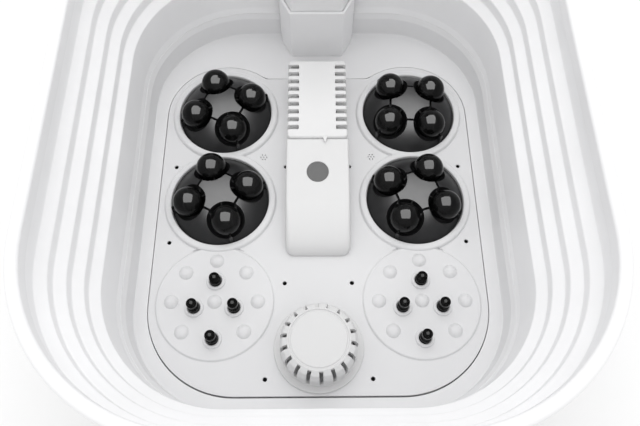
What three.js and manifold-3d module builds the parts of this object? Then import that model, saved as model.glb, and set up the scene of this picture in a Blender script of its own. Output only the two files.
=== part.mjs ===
// Collapsible foot spa with four roller discs, pin pads, a herb cap and a folding wall.
// Millimetres, +Z up, +Y to the rear. The origin is on the floor under the middle of the basin.
import * as THREE from 'three';
import { mergeVertices } from 'three/addons/utils/BufferGeometryUtils.js';
import Module from 'manifold-3d';

const wasm = await Module();
wasm.setup();

// Shared clearances
const seatGap = 0.3;
const turnGap = 0.6;
const overrun = 1;

// Basin plan: a rounded rectangle, and every wall is an offset from it
const floorHalfWidth = 149;
const floorHalfLength = 181.75;
const floorCornerRadius = 86;

// Levels above the ground
const panUnderside = 6;
const plateTop = 72;
const wellFloorTop = 51;
const rimTop = 226;
const rimTravel = 85;

// Base pan
const panThickness = 3;
const panWall = 2.6;
const panFootOffset = 3;
const panChamferOffset = 8.5;
const panSideOffset = 12;
const panChamferHeight = 3;
const panSideHeight = 11;
const panShoulder = 34;
const panLip = 9;
const ventCount = 6;
const ventWidth = 4;
const ventLength = 26;
const ventPitch = 11;
const ventInset = 31.75;

// Rubber feet
const footRadius = 12;
const footSideInset = 37;
const footEndInset = 49.75;
const footSocketDepth = 1.6;

// Cord gland in the rear of the base pan
const glandX = 59;
const glandZ = 22;
const glandRadius = 6;
const glandFlange = 9;
const glandFlangeThickness = 2.2;
const glandBore = 3.4;
const glandTail = 8;

// Power board and its posts
const boardWidth = 84;
const boardLength = 46;
const boardThickness = 1.8;
const boardInset = 69.75;
const postRadius = 3.2;
const postHeight = 6;
const postInset = 6;
const transformerSize = 22;
const transformerX = 22;
const capacitorRadius = 6;
const capacitorHeight = 14;
const capacitorX = -22;

// Air pump for the bubble holes
const pumpWidth = 58;
const pumpLength = 44;
const pumpHeight = 30;
const pumpInset = 85.75;
const pumpNozzleRadius = 3;
const pumpNozzleLength = 12;
const pumpNozzleX = 15;

// Lower tub
const tubFloor = 3;
const tubWall = 2.6;
const tubRidgeOffset = 0.6;
const tubRidgeTop = 97;
const ridgeWidth = 3;
const wallGroove = 4;
const grooveDepth = 6;
const tubLipWidth = 2.6;
const tubLipTop = 101;
const plateLedge = 4;
const plateSeam = 0.4;

// Foot plate outline
const plateHalfWidth = 137.5;
const plateFrontMargin = 14;
const plateRearMargin = 54.5;
const plateFrontRadius = 73;
const plateRearLead = 0.75;
const plateRearFillet = 9;
const plateThickness = 3;

// Roller discs, their rings and gears
const discEdge = 53.3;
const discRearInset = 40.75;
const discSpacing = 88.75;
const discRadius = 41.4;
const discSkirt = 0.8;
const domeHeight = 22.5;
const discWellDepth = 5.6;
const discWellWall = 2.4;
const ringOuter = 48.2;
const ringHeight = 3.6;
const ringChamfer = 2.4;
const hubRadius = 7;
const hubBoss = 12;
const discGearTeeth = 26;
const pinionTeeth = 10;
const gearThickness = 8;
const gearDrop = 1;
const gearHubDrop = 3;
const gearFloor = 3;
const gearHubRadius = 10;
const pressureAngle = 20 * Math.PI / 180;
const gearBacklash = 0.7;
const discTipShare = 0.65;
const pinionTipShare = 0.85;
const rootClearanceShare = 0.3;

// Drive motors and pinion shafts
const motorRadius = 17;
const motorHeight = 27;
const motorShaftRadius = 3;
const shaftBore = 3.25;
const shaftInMotor = 10;

// Massage balls on radial axles
const ballsPerDisc = 4;
const ballRadius = 12.9;
const ballRing = 26;
const ballHeight = 15;
const socketRadius = 16;
const axleTilt = 12 * Math.PI / 180;
const axleRadius = 1.1;
const axleBore = 1.4;
const axleInner = 17.2;
const axleOuter = 15;
const earWidth = 3.6;
const earThickness = 2.1;
const earAboveAxle = 2;

// Star caps
const starHalfSide = 18;
const starSeam = 0.3;
const starGrip = 1;

// Pads with bumps and rubber pins
const padEdge = 53.7;
const padSpacing = 91;
const padRadius = 48;
const padHeight = 1.8;
const bumpRing = 34.9;
const bumpRadius = 5.8;
const bumpHeight = 3.4;
const collarRadius = 7.75;
const collarHeight = 4;
const pinRadius = 4.65;
const pinHole = 5;
const pinStage = 10;
const pinTipRadius = 4.2;
const pinTip = 8;
const pinTipShort = 4.5;
const pinRearY = 17.3;
const pinSideX = 16.1;
const pinSideY = -5.2;
const pinFrontY = -30.7;
const pinEdge = 1;
const webThickness = 2.2;
const webArm = 4.5;

// Herb cap and cup
const capInset = 37;
const capFlange = 35.4;
const capFlangeHeight = 2.2;
const capRadius = 30;
const capTopRadius = 23;
const capHeight = 30;
const capShoulder = 22;
const capWall = 2.2;
const capSlots = 18;
const capSlotPhase = 3.3 * Math.PI / 180;
const capSlotWidth = 3.2;
const capSlotLow = 8;
const cupRadius = 24;
const cupWall = 1.8;
const cupDepth = 16;
const cupFlange = 27;
const cupFlangeHeight = 1.6;

// Heater housing: front cover, lens and grille cover
const coverHalfWidth = 27;
const coverLength = 98;
const coverTop = 27;
const coverFrontTop = 21;
const coverBendLength = 41.75;
const coverCorner = 8;
const coverWall = 2.4;
const grilleHalfWidth = 26;
const grilleRearInset = 2;
const grilleLength = 81;
const grilleTop = 30;
const grilleCorner = 3;
const grilleSlots = 9;
const grillePitch = 8;
const grilleFirstInset = 9.95;
const grilleSlotWidth = 4.2;
const grilleSlotReach = 9.5;
const grilleSlotDrop = 12;
const lensInset = 30.45;
const lensRadius = 9;
const lensLedge = 1.8;
const lensDepth = 2.6;
const lensRest = 1;
const lensThickness = 2.4;
const lensBossDepth = 6;
const heaterWidth = 40;
const heaterLength = 70;
const heaterHeight = 13;
const heaterFinHeight = 4;
const heaterFins = 7;
const heaterFinShare = 0.5;

// Screw wells through the plate, by rows from the rear to the front
const screwRadius = 1.7;
const screwBoss = 4.2;
const screwSideInset = 12.1;
const screwCoverGap = 1.2;
const screwRearDrop = 54.9;
const screwFrontDrop = 38.65;
const screwInnerX = 27.6;
const screwInnerRise = 15.95;
const screwEndX = 41.7;
const screwEndInset = 12.85;

// Bubble holes
const bubbleDiscInset = 36.1;
const bubbleDrop = 0.625;
const bubbleRing = 2.6;
const bubbleHole = 0.6;
const bubbleCount = 6;

// Lower pillar on the basin floor at the rear
const pillarDepth = 27.75;
const pillarFrontHalf = 24.5;
const pillarSideDepth = 9.75;
const pillarSideHalf = 33.6;
const pillarWallHalf = 35;
const pillarWall = 2.4;
const pillarBackGap = 0.6;

// Folding wall: plain foot, then folds that step outwards
const wallThickness = 2.1;
const wallFootHeight = 50;
const foldCount = 4;
const foldStep = 6.4;
const foldRise = 7;

// Rim
const rimHeight = 30;
const rimInnerHeight = 13;
const rimRoof = 4;
const rimInnerWall = 2.5;
const rimOuterWall = 2.6;
const rimOuterOffset = 36.5;
const rimEdge = 2.5;
const rimDraft = 0.8;

// Control head with its tongue in the pillar
const headHalfWidth = 43;
const headFrontOverhang = 4;
const headDrop = 9;
const headHeight = 20;
const headTilt = 8 * Math.PI / 180;
const headCorner = 9;
const headWall = 2.6;
const tongueGap = 0.6;
const tongueWall = 2;
const tongueOverlap = 16;
const stopGap = 1;

// Display panel, buttons and control board, across the tilted top
const panelHalfWidth = 37;
const panelHalfLength = 26;
const panelThickness = 2.4;
const panelSink = 0.3;
const panelCorner = 6;
const panelLedge = 2;
const buttonCount = 3;
const buttonPitch = 22;
const buttonY = -12;
const buttonRadius = 6.5;
const buttonLift = 1;
const buttonFlange = 1.2;
const buttonFlangeHeight = 1.2;
const buttonTravel = 1;
const controlThickness = 1.6;
const controlBack = 3.3;

// Facets
const cornerSteps = 5;
const edgeSteps = 3;
const bulgeSteps = 7;
const filletSteps = 2;
const discSegments = 24;
const hubSegments = 12;
const roundSegments = 12;
const smallSegments = 8;
const ballRows = 5;
const domeSteps = 3;
const axleSides = 6;
const holeSides = 4;

// Places worked out from the sizes above
const footX = floorHalfWidth - footSideInset;
const footY = floorHalfLength - footEndInset;
const plateFrontY = plateFrontMargin - floorHalfLength;
const plateRearY = floorHalfLength - plateRearMargin;
const discX = plateHalfWidth - discEdge;
const rearDiscY = plateRearY - discRearInset;
const frontDiscY = rearDiscY - discSpacing;
const pinionY = frontDiscY + discSpacing / 2;
const padX = plateHalfWidth - padEdge;
const padY = frontDiscY - padSpacing;
const capY = plateFrontY + capInset;
const grilleRearY = plateRearY - grilleRearInset;
const coverStepY = grilleRearY - grilleLength;
const coverFrontY = coverStepY - coverLength;
const coverBendY = coverFrontY + coverBendLength;
const pillarFrontY = floorHalfLength - pillarDepth;
const pillarSideY = floorHalfLength - pillarSideDepth;
const headUnderside = rimTop - headDrop;
const headMiddleTop = headUnderside + headHeight;
const domeSphere = (discRadius ** 2 + (domeHeight - discSkirt) ** 2) / (2 * (domeHeight - discSkirt));
const gearModule = discSpacing / (discGearTeeth + pinionTeeth);
const discPitchRadius = gearModule * discGearTeeth / 2;
const pinionPitchRadius = gearModule * pinionTeeth / 2;
const plateUnderside = plateTop - plateThickness;
const discWellTop = plateTop - discWellDepth;
const discWellUnderside = discWellTop - plateThickness;
const gearTop = discWellUnderside - gearDrop;
const gearBottom = gearTop - gearThickness;
const wellUnderside = wellFloorTop - tubFloor;
const plateRest = plateUnderside - seatGap;
const pillarTop = headUnderside - rimTravel - stopGap;
const wallFootOffset = tubRidgeOffset + ridgeWidth + (wallGroove - wallThickness) / 2;
const wallBottom = tubRidgeTop - grooveDepth + seatGap;
const wallTop = rimTop - rimRoof - seatGap;
const wallTopOffset = wallFootOffset + foldCount * foldStep;
const tubLipOffset = tubRidgeOffset + ridgeWidth + wallGroove;
const headFrontY = pillarFrontY - headFrontOverhang;
const headRearY = floorHalfLength + rimOuterOffset;
const headMiddleY = (headFrontY + headRearY) / 2;

// Solids: every helper gives a closed geometry with positions and faces only
function bare(geometry) {
  const copy = geometry.clone();
  copy.deleteAttribute('normal');
  copy.deleteAttribute('uv');
  return mergeVertices(copy);
}

function toSolid(geometry) {
  const merged = bare(geometry);
  const vertProperties = new Float32Array(merged.attributes.position.array);
  const triVerts = new Uint32Array(merged.index.array);
  return new wasm.Manifold(new wasm.Mesh({ numProp: 3, vertProperties, triVerts }));
}

function toGeometry(solid) {
  const mesh = solid.getMesh();
  const geometry = new THREE.BufferGeometry();
  geometry.setAttribute('position', new THREE.BufferAttribute(mesh.vertProperties, 3));
  geometry.setIndex(new THREE.BufferAttribute(mesh.triVerts, 1));
  return geometry;
}

function join(...geometries) {
  const solids = geometries.map(toSolid);
  return toGeometry(solids.reduce((whole, next) => whole.add(next)));
}

function cut(base, ...tools) {
  const solids = tools.map(toSolid);
  return toGeometry(solids.reduce((whole, next) => whole.subtract(next), toSolid(base)));
}

function overlapOf(first, second) {
  return toGeometry(toSolid(first).intersect(toSolid(second)));
}

function moved(geometry, x, y, z) {
  return geometry.clone().translate(x, y, z);
}

const sides = [['left', -1], ['right', 1]];

function onBothSides(make) {
  return sides.map(([, side]) => make(side));
}

// Plan outlines run anticlockwise
function arcPoints(x, y, radius, from, to, steps) {
  const points = [];
  for (let i = 0; i <= steps; i += 1) {
    const angle = from + (to - from) * i / steps;
    points.push(new THREE.Vector2(x + radius * Math.cos(angle), y + radius * Math.sin(angle)));
  }
  return points;
}

function roundedRectangle(halfWidth, halfLength, radius, steps = cornerSteps) {
  const corners = [[1, -1], [1, 1], [-1, 1], [-1, -1]];
  return corners.flatMap(([sideX, sideY], i) => {
    const start = (i - 1) * Math.PI / 2;
    const x = sideX * (halfWidth - radius);
    const y = sideY * (halfLength - radius);
    return arcPoints(x, y, radius, start, start + Math.PI / 2, steps);
  });
}

function basinOutline(offset) {
  return roundedRectangle(floorHalfWidth + offset, floorHalfLength + offset, floorCornerRadius + offset);
}

function circleOutline(radius, segments) {
  return arcPoints(0, 0, radius, 0, 2 * Math.PI, segments).slice(0, -1);
}

// The plate has round front corners, and bulges behind the rear discs
function plateOutline(offset) {
  const bulge = plateHalfWidth - discX;
  const bulgeY = rearDiscY + plateRearLead;
  const rise = plateRearY - bulgeY;
  const reach = Math.sqrt((bulge + plateRearFillet) ** 2 - (rise + plateRearFillet) ** 2);
  const turn = Math.atan2(rise + plateRearFillet, -reach);
  const frontX = plateHalfWidth - plateFrontRadius;
  const frontY = plateFrontY + plateFrontRadius;
  const filletX = discX - reach;
  const filletY = plateRearY + plateRearFillet;
  const right = [
    ...arcPoints(frontX, frontY, plateFrontRadius + offset, -Math.PI / 2, 0, cornerSteps),
    ...arcPoints(discX, bulgeY, bulge + offset, 0, turn, bulgeSteps),
    ...arcPoints(filletX, filletY, plateRearFillet - offset, turn - Math.PI, -Math.PI / 2, filletSteps),
  ];
  const left = right.map((point) => new THREE.Vector2(-point.x, point.y)).reverse();
  return [...right, ...left];
}

function pillarOutline(inset) {
  const side = pillarSideHalf - inset;
  const wall = pillarWallHalf - inset;
  const back = floorHalfLength - pillarBackGap - inset;
  const right = [
    new THREE.Vector2(pillarFrontHalf - inset / 2, pillarFrontY + inset),
    new THREE.Vector2(side, pillarSideY + inset / 2),
    new THREE.Vector2(wall, back),
  ];
  const left = right.map((point) => new THREE.Vector2(-point.x, point.y)).reverse();
  return [...right, ...left];
}

function prism(outline, bottom, top) {
  const shape = new THREE.Shape(outline);
  const geometry = new THREE.ExtrudeGeometry(shape, { depth: top - bottom, bevelEnabled: false });
  return bare(geometry.translate(0, 0, bottom));
}

// A side outline lists (y, z) points and is pushed across X
function sideways(outline, halfWidth) {
  const shape = new THREE.Shape(outline);
  const geometry = new THREE.ExtrudeGeometry(shape, { depth: 2 * halfWidth, bevelEnabled: false });
  geometry.translate(0, 0, -halfWidth);
  const toSide = new THREE.Matrix4().makeBasis(
    new THREE.Vector3(0, 1, 0), new THREE.Vector3(0, 0, 1), new THREE.Vector3(1, 0, 0));
  return bare(geometry.applyMatrix4(toSide));
}

function block(width, length, bottom, top, x = 0, y = 0) {
  const geometry = new THREE.BoxGeometry(width, length, top - bottom);
  return bare(geometry.translate(x, y, (top + bottom) / 2));
}

function post(radius, bottom, top, x = 0, y = 0, segments = roundSegments) {
  const geometry = new THREE.CylinderGeometry(radius, radius, top - bottom, segments);
  return bare(geometry.rotateX(Math.PI / 2).translate(x, y, (top + bottom) / 2));
}

// A turned profile lists [radius, z] from the bottom of the outside to the axis or back to its start
function turned(profile, segments = discSegments) {
  const points = profile.map(([radius, z]) => new THREE.Vector2(radius, z));
  const geometry = new THREE.LatheGeometry(points, segments);
  return bare(geometry.rotateX(Math.PI / 2));
}

// A wall profile lists [offset, z] anticlockwise and runs once round the basin
function aroundBasin(profile) {
  const rings = profile.map(([offset, z]) => basinOutline(offset).map((point) => [point.x, point.y, z]));
  const count = rings[0].length;
  const position = new Float32Array(rings.flat(2));
  const index = [];
  rings.forEach((ring, i) => {
    const here = i * count;
    const next = ((i + 1) % rings.length) * count;
    for (let j = 0; j < count; j += 1) {
      const k = (j + 1) % count;
      index.push(here + j, here + k, next + k);
      index.push(here + j, next + k, next + j);
    }
  });
  const geometry = new THREE.BufferGeometry();
  geometry.setAttribute('position', new THREE.BufferAttribute(position, 3));
  geometry.setIndex(index);
  return geometry;
}

// Materials
function finish(color, roughness, metalness = 0) {
  return new THREE.MeshStandardMaterial({ color, roughness, metalness });
}

const whiteShell = finish(0xe9e9ea, 0.42);
const whiteDetail = finish(0xf0f0f0, 0.36);
const greyWall = finish(0xc9cacc, 0.6);
const greyShell = finish(0xd4d5d6, 0.45);
const glossBlack = finish(0x1c1c1e, 0.14);
const ballBlack = finish(0x0d0d0e, 0.08);
const rubberBlack = finish(0x18181a, 0.5);
const lensGrey = finish(0x8b8b8d, 0.2);
const gearWhite = finish(0xdadad2, 0.5);
const motorSteel = finish(0xa9acb0, 0.35, 0.9);
const boardGreen = finish(0x2f6b45, 0.5);
const heaterAluminium = finish(0xb9bcc0, 0.35, 0.9);
const panelBlack = finish(0x101113, 0.1);

const group = new THREE.Group();

function addPart(name, geometry, material, x = 0, y = 0, z = 0, turn = 0) {
  const mesh = new THREE.Mesh(geometry, material);
  mesh.name = name;
  mesh.position.set(x, y, z);
  mesh.rotation.z = turn;
  group.add(mesh);
}

// Base pan with foot sockets, vents, gland hole and board posts
const panFloorTop = panUnderside + panThickness;
const boardPostTop = panFloorTop + postHeight;
const fourCorners = [[-1, -1], [1, -1], [1, 1], [-1, 1]];
const footPlaces = fourCorners.map(([x, y]) => [x * footX, y * footY]);
const panWallOuter = panSideOffset - panWall - seatGap;

const ventY = floorHalfLength - ventInset;
const boardY = floorHalfLength - boardInset;

function basePan() {
  const floor = prism(basinOutline(panFootOffset), panUnderside, panFloorTop);
  const wall = aroundBasin([
    [panFootOffset - panWall, panUnderside],
    [panFootOffset, panUnderside],
    [panChamferOffset, panUnderside + panChamferHeight],
    [panSideOffset, panUnderside + panSideHeight],
    [panSideOffset, panShoulder],
    [panWallOuter, panShoulder],
    [panWallOuter, panShoulder + panLip],
    [panWallOuter - panWall, panShoulder + panLip],
    [panWallOuter - panWall, panUnderside + panSideHeight],
    [panFootOffset, panFloorTop],
    [panFootOffset - panWall, panFloorTop],
  ]);
  const postX = boardWidth / 2 - postInset;
  const postY = boardLength / 2 - postInset;
  const postLow = panUnderside + panThickness / 2;
  const posts = fourCorners.map(([x, y]) =>
    post(postRadius, postLow, boardPostTop, x * postX, boardY + y * postY, smallSegments));
  const sockets = footPlaces.map(([x, y]) =>
    post(footRadius + seatGap, panUnderside - overrun, panUnderside + footSocketDepth, x, y));
  const vents = [];
  for (let i = 0; i < ventCount; i += 1) {
    const x = (i - (ventCount - 1) / 2) * ventPitch;
    vents.push(block(ventWidth, ventLength, panUnderside - overrun, panFloorTop + overrun, x, ventY));
  }
  const glandHole = post(glandRadius + seatGap, -panSideOffset, panSideOffset, 0, 0).rotateX(Math.PI / 2);
  const hole = moved(glandHole, glandX, floorHalfLength + panSideOffset - panWall, glandZ);
  return cut(join(floor, wall, ...posts), ...sockets, ...vents, hole);
}

addPart('base_pan', basePan(), whiteShell);

// Rubber feet seated in the sockets
const footNames = ['foot_front_left', 'foot_front_right', 'foot_rear_right', 'foot_rear_left'];
const footTop = panUnderside + footSocketDepth - seatGap;
footPlaces.forEach(([x, y], i) => {
  addPart(footNames[i], post(footRadius, 0, footTop), rubberBlack, x, y);
});

// Cord gland: a flanged rubber sleeve through the rear wall
function cordGland() {
  const length = glandFlangeThickness + panWall + glandTail;
  const sleeve = post(glandRadius, -length, 0);
  const flange = post(glandFlange, -glandFlangeThickness, 0);
  const bore = post(glandBore, -length - overrun, overrun);
  return cut(join(sleeve, flange), bore).rotateX(-Math.PI / 2);
}

const glandY = floorHalfLength + panSideOffset + seatGap + glandFlangeThickness;
addPart('cord_gland', cordGland(), rubberBlack, glandX, glandY, glandZ);

// Power board on its posts
function powerBoard() {
  const slab = block(boardWidth, boardLength, 0, boardThickness);
  const low = boardThickness / 2;
  const transformer = block(transformerSize, transformerSize, low, transformerSize, transformerX);
  const capacitor = post(capacitorRadius, low, capacitorHeight, capacitorX);
  return join(slab, transformer, capacitor);
}

addPart('power_board', powerBoard(), boardGreen, 0, boardY, boardPostTop + seatGap);

// Air pump on the pan floor, with an outlet for each bubble cluster
function airPump() {
  const body = block(pumpWidth, pumpLength, 0, pumpHeight);
  const nozzles = onBothSides((side) => {
    const tube = post(pumpNozzleRadius, 0, pumpLength / 2 + pumpNozzleLength, 0, 0, smallSegments);
    return moved(tube.rotateX(-Math.PI / 2), side * pumpNozzleX, 0, pumpHeight / 2);
  });
  return join(body, ...nozzles);
}

addPart('air_pump', airPump(), motorSteel, 0, pumpInset - floorHalfLength, panFloorTop + seatGap);

// Screw places in the plate, each over a boss of the tub
const screwSideX = plateHalfWidth - screwSideInset;
const screwRearY = rearDiscY - screwRearDrop;
const screwPlaces = [
  [screwSideX, screwRearY], [coverHalfWidth + screwCoverGap, screwRearY],
  [screwSideX, frontDiscY - screwFrontDrop],
  [screwInnerX, padY + screwInnerRise], [screwEndX, plateFrontY + screwEndInset],
].flatMap(([x, y]) => [[x, y], [-x, y]]);
const discPlaces = [
  ['rear_left', -1, rearDiscY], ['front_left', -1, frontDiscY],
  ['rear_right', 1, rearDiscY], ['front_right', 1, frontDiscY],
];
const gearHubBottom = gearBottom - gearHubDrop;

// Lower tub: double wall with a groove for the folding wall, floor, and a well under the plate
function lowerTub() {
  const innerRidge = tubRidgeOffset + ridgeWidth;
  const grooveFloor = tubRidgeTop - grooveDepth;
  const skirtOuter = panSideOffset;
  const skirtInner = skirtOuter - tubWall;
  const lipOuter = tubLipOffset + tubLipWidth;
  const roof = grooveFloor - tubWall;
  const wall = aroundBasin([
    [0, plateTop - tubFloor],
    [tubWall, plateTop - tubFloor],
    [tubRidgeOffset + tubWall, roof],
    [skirtInner, roof],
    [skirtInner, panShoulder + seatGap],
    [skirtOuter, panShoulder + seatGap],
    [skirtOuter, roof],
    [lipOuter, grooveFloor],
    [lipOuter, tubLipTop],
    [tubLipOffset, tubLipTop],
    [tubLipOffset, grooveFloor],
    [innerRidge, grooveFloor],
    [innerRidge, tubRidgeTop],
    [tubRidgeOffset, tubRidgeTop],
    [0, plateTop],
  ]);
  const floor = prism(basinOutline(overrun), plateTop - tubFloor, plateTop);
  const well = prism(plateOutline(plateSeam + tubWall), wellUnderside, plateTop);
  const recess = prism(plateOutline(plateSeam), plateRest, plateTop + overrun);
  const cavity = prism(plateOutline(-plateLedge), wellFloorTop, plateTop + overrun);
  const screwBosses = screwPlaces.map(([x, y]) => post(screwBoss, wellUnderside, plateRest, x, y, axleSides));
  const hubBosses = discPlaces.map(([, side, y]) =>
    post(hubBoss, wellUnderside, gearHubBottom - seatGap, side * discX, y));
  const shaftHoles = onBothSides((side) =>
    post(motorShaftRadius + turnGap, wellUnderside - overrun, wellFloorTop + overrun, side * discX, pinionY));
  const columnHole = prism(pillarOutline(pillarWall), wellUnderside, plateTop + overrun);
  const shell = cut(join(floor, well, wall), recess, cavity, columnHole, ...shaftHoles);
  return join(shell, ...screwBosses, ...hubBosses);
}

addPart('lower_tub', lowerTub(), whiteShell);

// Drive motors hang under the well, and each pinion's shaft enters its motor
function driveMotor() {
  const body = post(motorRadius, -motorHeight, 0, 0, 0, hubSegments);
  return cut(body, post(shaftBore, -shaftInMotor - overrun, overrun));
}

function toothedOutline(teeth, pitch, tipShare, matingTipShare, toothAtStart) {
  const tip = pitch + tipShare * gearModule;
  const root = pitch - (matingTipShare + rootClearanceShare) * gearModule;
  const base = pitch * Math.cos(pressureAngle);
  const involute = (radius) => {
    const angle = Math.acos(Math.min(1, base / radius));
    return Math.tan(angle) - angle;
  };
  const halfTooth = Math.PI / (2 * teeth) - gearBacklash / (4 * pitch) + involute(pitch);
  const start = Math.max(base, root);
  const flank = [start, tip].map((radius) => [radius === start ? root : tip, halfTooth - involute(radius)]);
  const outline = [];
  for (let i = 0; i < teeth; i += 1) {
    const centre = 2 * Math.PI * (i + (toothAtStart ? 0 : 1 / 2)) / teeth;
    const rising = flank.map(([radius, half]) => [radius, centre - half]);
    const falling = flank.map(([radius, half]) => [radius, centre + half]).reverse();
    [...rising, ...falling].forEach(([radius, angle]) => {
      outline.push(new THREE.Vector2(radius * Math.cos(angle), radius * Math.sin(angle)));
    });
  }
  return outline;
}

const motorTop = wellUnderside - seatGap;
const pinionBottom = wellFloorTop + seatGap;

function motorPinion() {
  const outline = toothedOutline(pinionTeeth, pinionPitchRadius, pinionTipShare, discTipShare, true);
  const teeth = prism(outline, pinionBottom, gearTop);
  const shaft = post(motorShaftRadius, motorTop - shaftInMotor, gearTop);
  return join(teeth, shaft).rotateZ(Math.PI / 2);
}

sides.forEach(([name, side]) => {
  addPart(`motor_${name}`, driveMotor(), motorSteel, side * discX, pinionY, motorTop);
  addPart(`pinion_${name}`, motorPinion(), gearWhite, side * discX, pinionY);
});

// Disc gears on the hubs of the domes
function discGear() {
  const outline = toothedOutline(discGearTeeth, discPitchRadius, discTipShare, pinionTipShare, false);
  const teeth = prism(outline, gearBottom, gearTop);
  const hub = post(gearHubRadius, gearHubBottom, gearTop);
  const bore = post(hubRadius + seatGap, gearHubBottom + gearFloor, gearTop + overrun, 0, 0, hubSegments);
  return cut(join(teeth, hub), bore);
}

// Foot plate
function roundedBump(radius, height) {
  return turned([
    [0, -overrun], [radius, -overrun], [radius, 0], [radius / 2, height], [0, height],
  ], axleSides);
}

const bubbleX = discX - bubbleDiscInset;
const bubblePlaces = onBothSides((side) => [side * bubbleX, pinionY - bubbleDrop]).flatMap(([x, y]) => {
  const around = circleOutline(bubbleRing, bubbleCount).map((point) => [x + point.x, y + point.y]);
  return [[x, y], ...around];
});
const pinPlaces = [
  [0, pinRearY, pinTipShort], [0, pinFrontY, pinTip],
  [-pinSideX, pinSideY, pinTip], [pinSideX, pinSideY, pinTip],
];
const bumpPlaces = [0, 1, 2, 3, 4, 5, 7].map((i) => {
  const angle = i * Math.PI / 4;
  return [bumpRing * Math.cos(angle), bumpRing * Math.sin(angle)];
}).concat([[0, 0]]);

function discSurround(side, y) {
  const well = discRadius + turnGap + discWellWall;
  const middle = plateTop - plateThickness / 2;
  const ring = turned([
    [0, discWellUnderside], [well, discWellUnderside], [well, middle], [ringOuter, middle],
    [ringOuter, plateTop], [ringOuter - ringChamfer, plateTop + ringHeight], [0, plateTop + ringHeight],
  ]);
  return moved(ring, side * discX, y, 0);
}

function footPad(side) {
  const low = -plateThickness / 2;
  const pad = turned([
    [0, low], [padRadius, low], [padRadius, padHeight / 2],
    [padRadius - padHeight, padHeight], [0, padHeight],
  ]);
  const bumps = bumpPlaces.map(([x, y]) => moved(roundedBump(bumpRadius, padHeight + bumpHeight), x, y, 0));
  const collars = pinPlaces.map(([x, y]) => post(collarRadius, low, collarHeight, x, y, smallSegments));
  return moved(join(pad, ...bumps, ...collars), side * padX, padY, plateTop);
}

function footPlate() {
  const slab = prism(plateOutline(0), plateUnderside, plateTop);
  const surrounds = discPlaces.map(([, side, y]) => discSurround(side, y));
  const pads = onBothSides(footPad);
  const body = join(slab, ...surrounds, ...pads);
  const low = discWellUnderside - overrun;
  const high = plateTop + pinStage;
  const discWells = discPlaces.flatMap(([, side, y]) => [
    post(discRadius + turnGap, discWellTop, high, side * discX, y, discSegments),
    post(hubRadius + turnGap, low, high, side * discX, y),
  ]);
  const pinHoles = onBothSides((side) => pinPlaces.map(([x, y]) =>
    post(pinHole, low, high, side * padX + x, padY + y, smallSegments))).flat();
  const screws = screwPlaces.map(([x, y]) => post(screwRadius, low, high, x, y, axleSides));
  const bubbles = bubblePlaces.map(([x, y]) => post(bubbleHole, low, high, x, y, holeSides));
  const cupHole = post(cupRadius + seatGap, low, high, 0, capY, discSegments);
  return cut(body, ...discWells, ...pinHoles, ...screws, ...bubbles, cupHole);
}

addPart('foot_plate', footPlate(), whiteShell);

// Rubber pins of a pad, joined by a web under the plate
function pinInsert() {
  const top = -plateThickness - seatGap;
  const bottom = top - webThickness;
  const pins = pinPlaces.map(([x, y, tip]) => turned([
    [0, bottom], [pinRadius, bottom], [pinRadius, pinStage], [pinTipRadius, pinStage],
    [pinTipRadius, pinStage + tip - pinEdge], [pinTipRadius - pinEdge, pinStage + tip], [0, pinStage + tip],
  ], smallSegments).translate(x, y, 0));
  const spineLength = pinRearY - pinFrontY;
  const spine = block(webArm, spineLength, bottom, top, 0, (pinRearY + pinFrontY) / 2);
  const crossbar = block(2 * pinSideX, webArm, bottom, top, 0, pinSideY);
  return join(spine, crossbar, ...pins);
}

sides.forEach(([name, side]) => {
  addPart(`pin_insert_${name}`, pinInsert(), rubberBlack, side * padX, padY, plateTop);
});

// Roller dome, star cap and balls, in the disc's own frame with the plate top at zero
function domeCap(radius, low, segments = discSegments) {
  const centre = domeHeight - domeSphere;
  const edge = Math.asin(radius / domeSphere);
  const profile = [[0, low], [radius, low]];
  for (let i = 0; i < domeSteps; i += 1) {
    const angle = edge * (1 - i / domeSteps);
    profile.push([domeSphere * Math.sin(angle), centre + domeSphere * Math.cos(angle)]);
  }
  profile.push([0, domeHeight]);
  return turned(profile, segments);
}

function ballTurn(i) {
  return 2 * Math.PI * i / ballsPerDisc;
}

// Along an axle: X points outwards from the ball's centre and down by the tilt
function onAxle(geometry, i) {
  return bare(geometry.rotateY(axleTilt).translate(ballRing, 0, ballHeight).rotateZ(ballTurn(i)));
}

function rod(radius, from, to) {
  const geometry = new THREE.CylinderGeometry(radius, radius, to - from, axleSides);
  return geometry.rotateZ(Math.PI / 2).translate((from + to) / 2, 0, 0);
}

function ballCutters(radius, bore) {
  const cutters = [];
  for (let i = 0; i < ballsPerDisc; i += 1) {
    const socket = new THREE.SphereGeometry(radius, smallSegments, ballRows);
    cutters.push(onAxle(socket.rotateZ(Math.PI / 2), i));
    cutters.push(onAxle(rod(bore, -axleInner - seatGap, axleOuter + seatGap), i));
  }
  return cutters;
}

const starFloor = ballHeight + (axleInner - starGrip) * Math.sin(axleTilt) - axleRadius - seatGap;

function starOutline(halfSide) {
  return circleOutline(halfSide * Math.SQRT2, ballsPerDisc);
}

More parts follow.
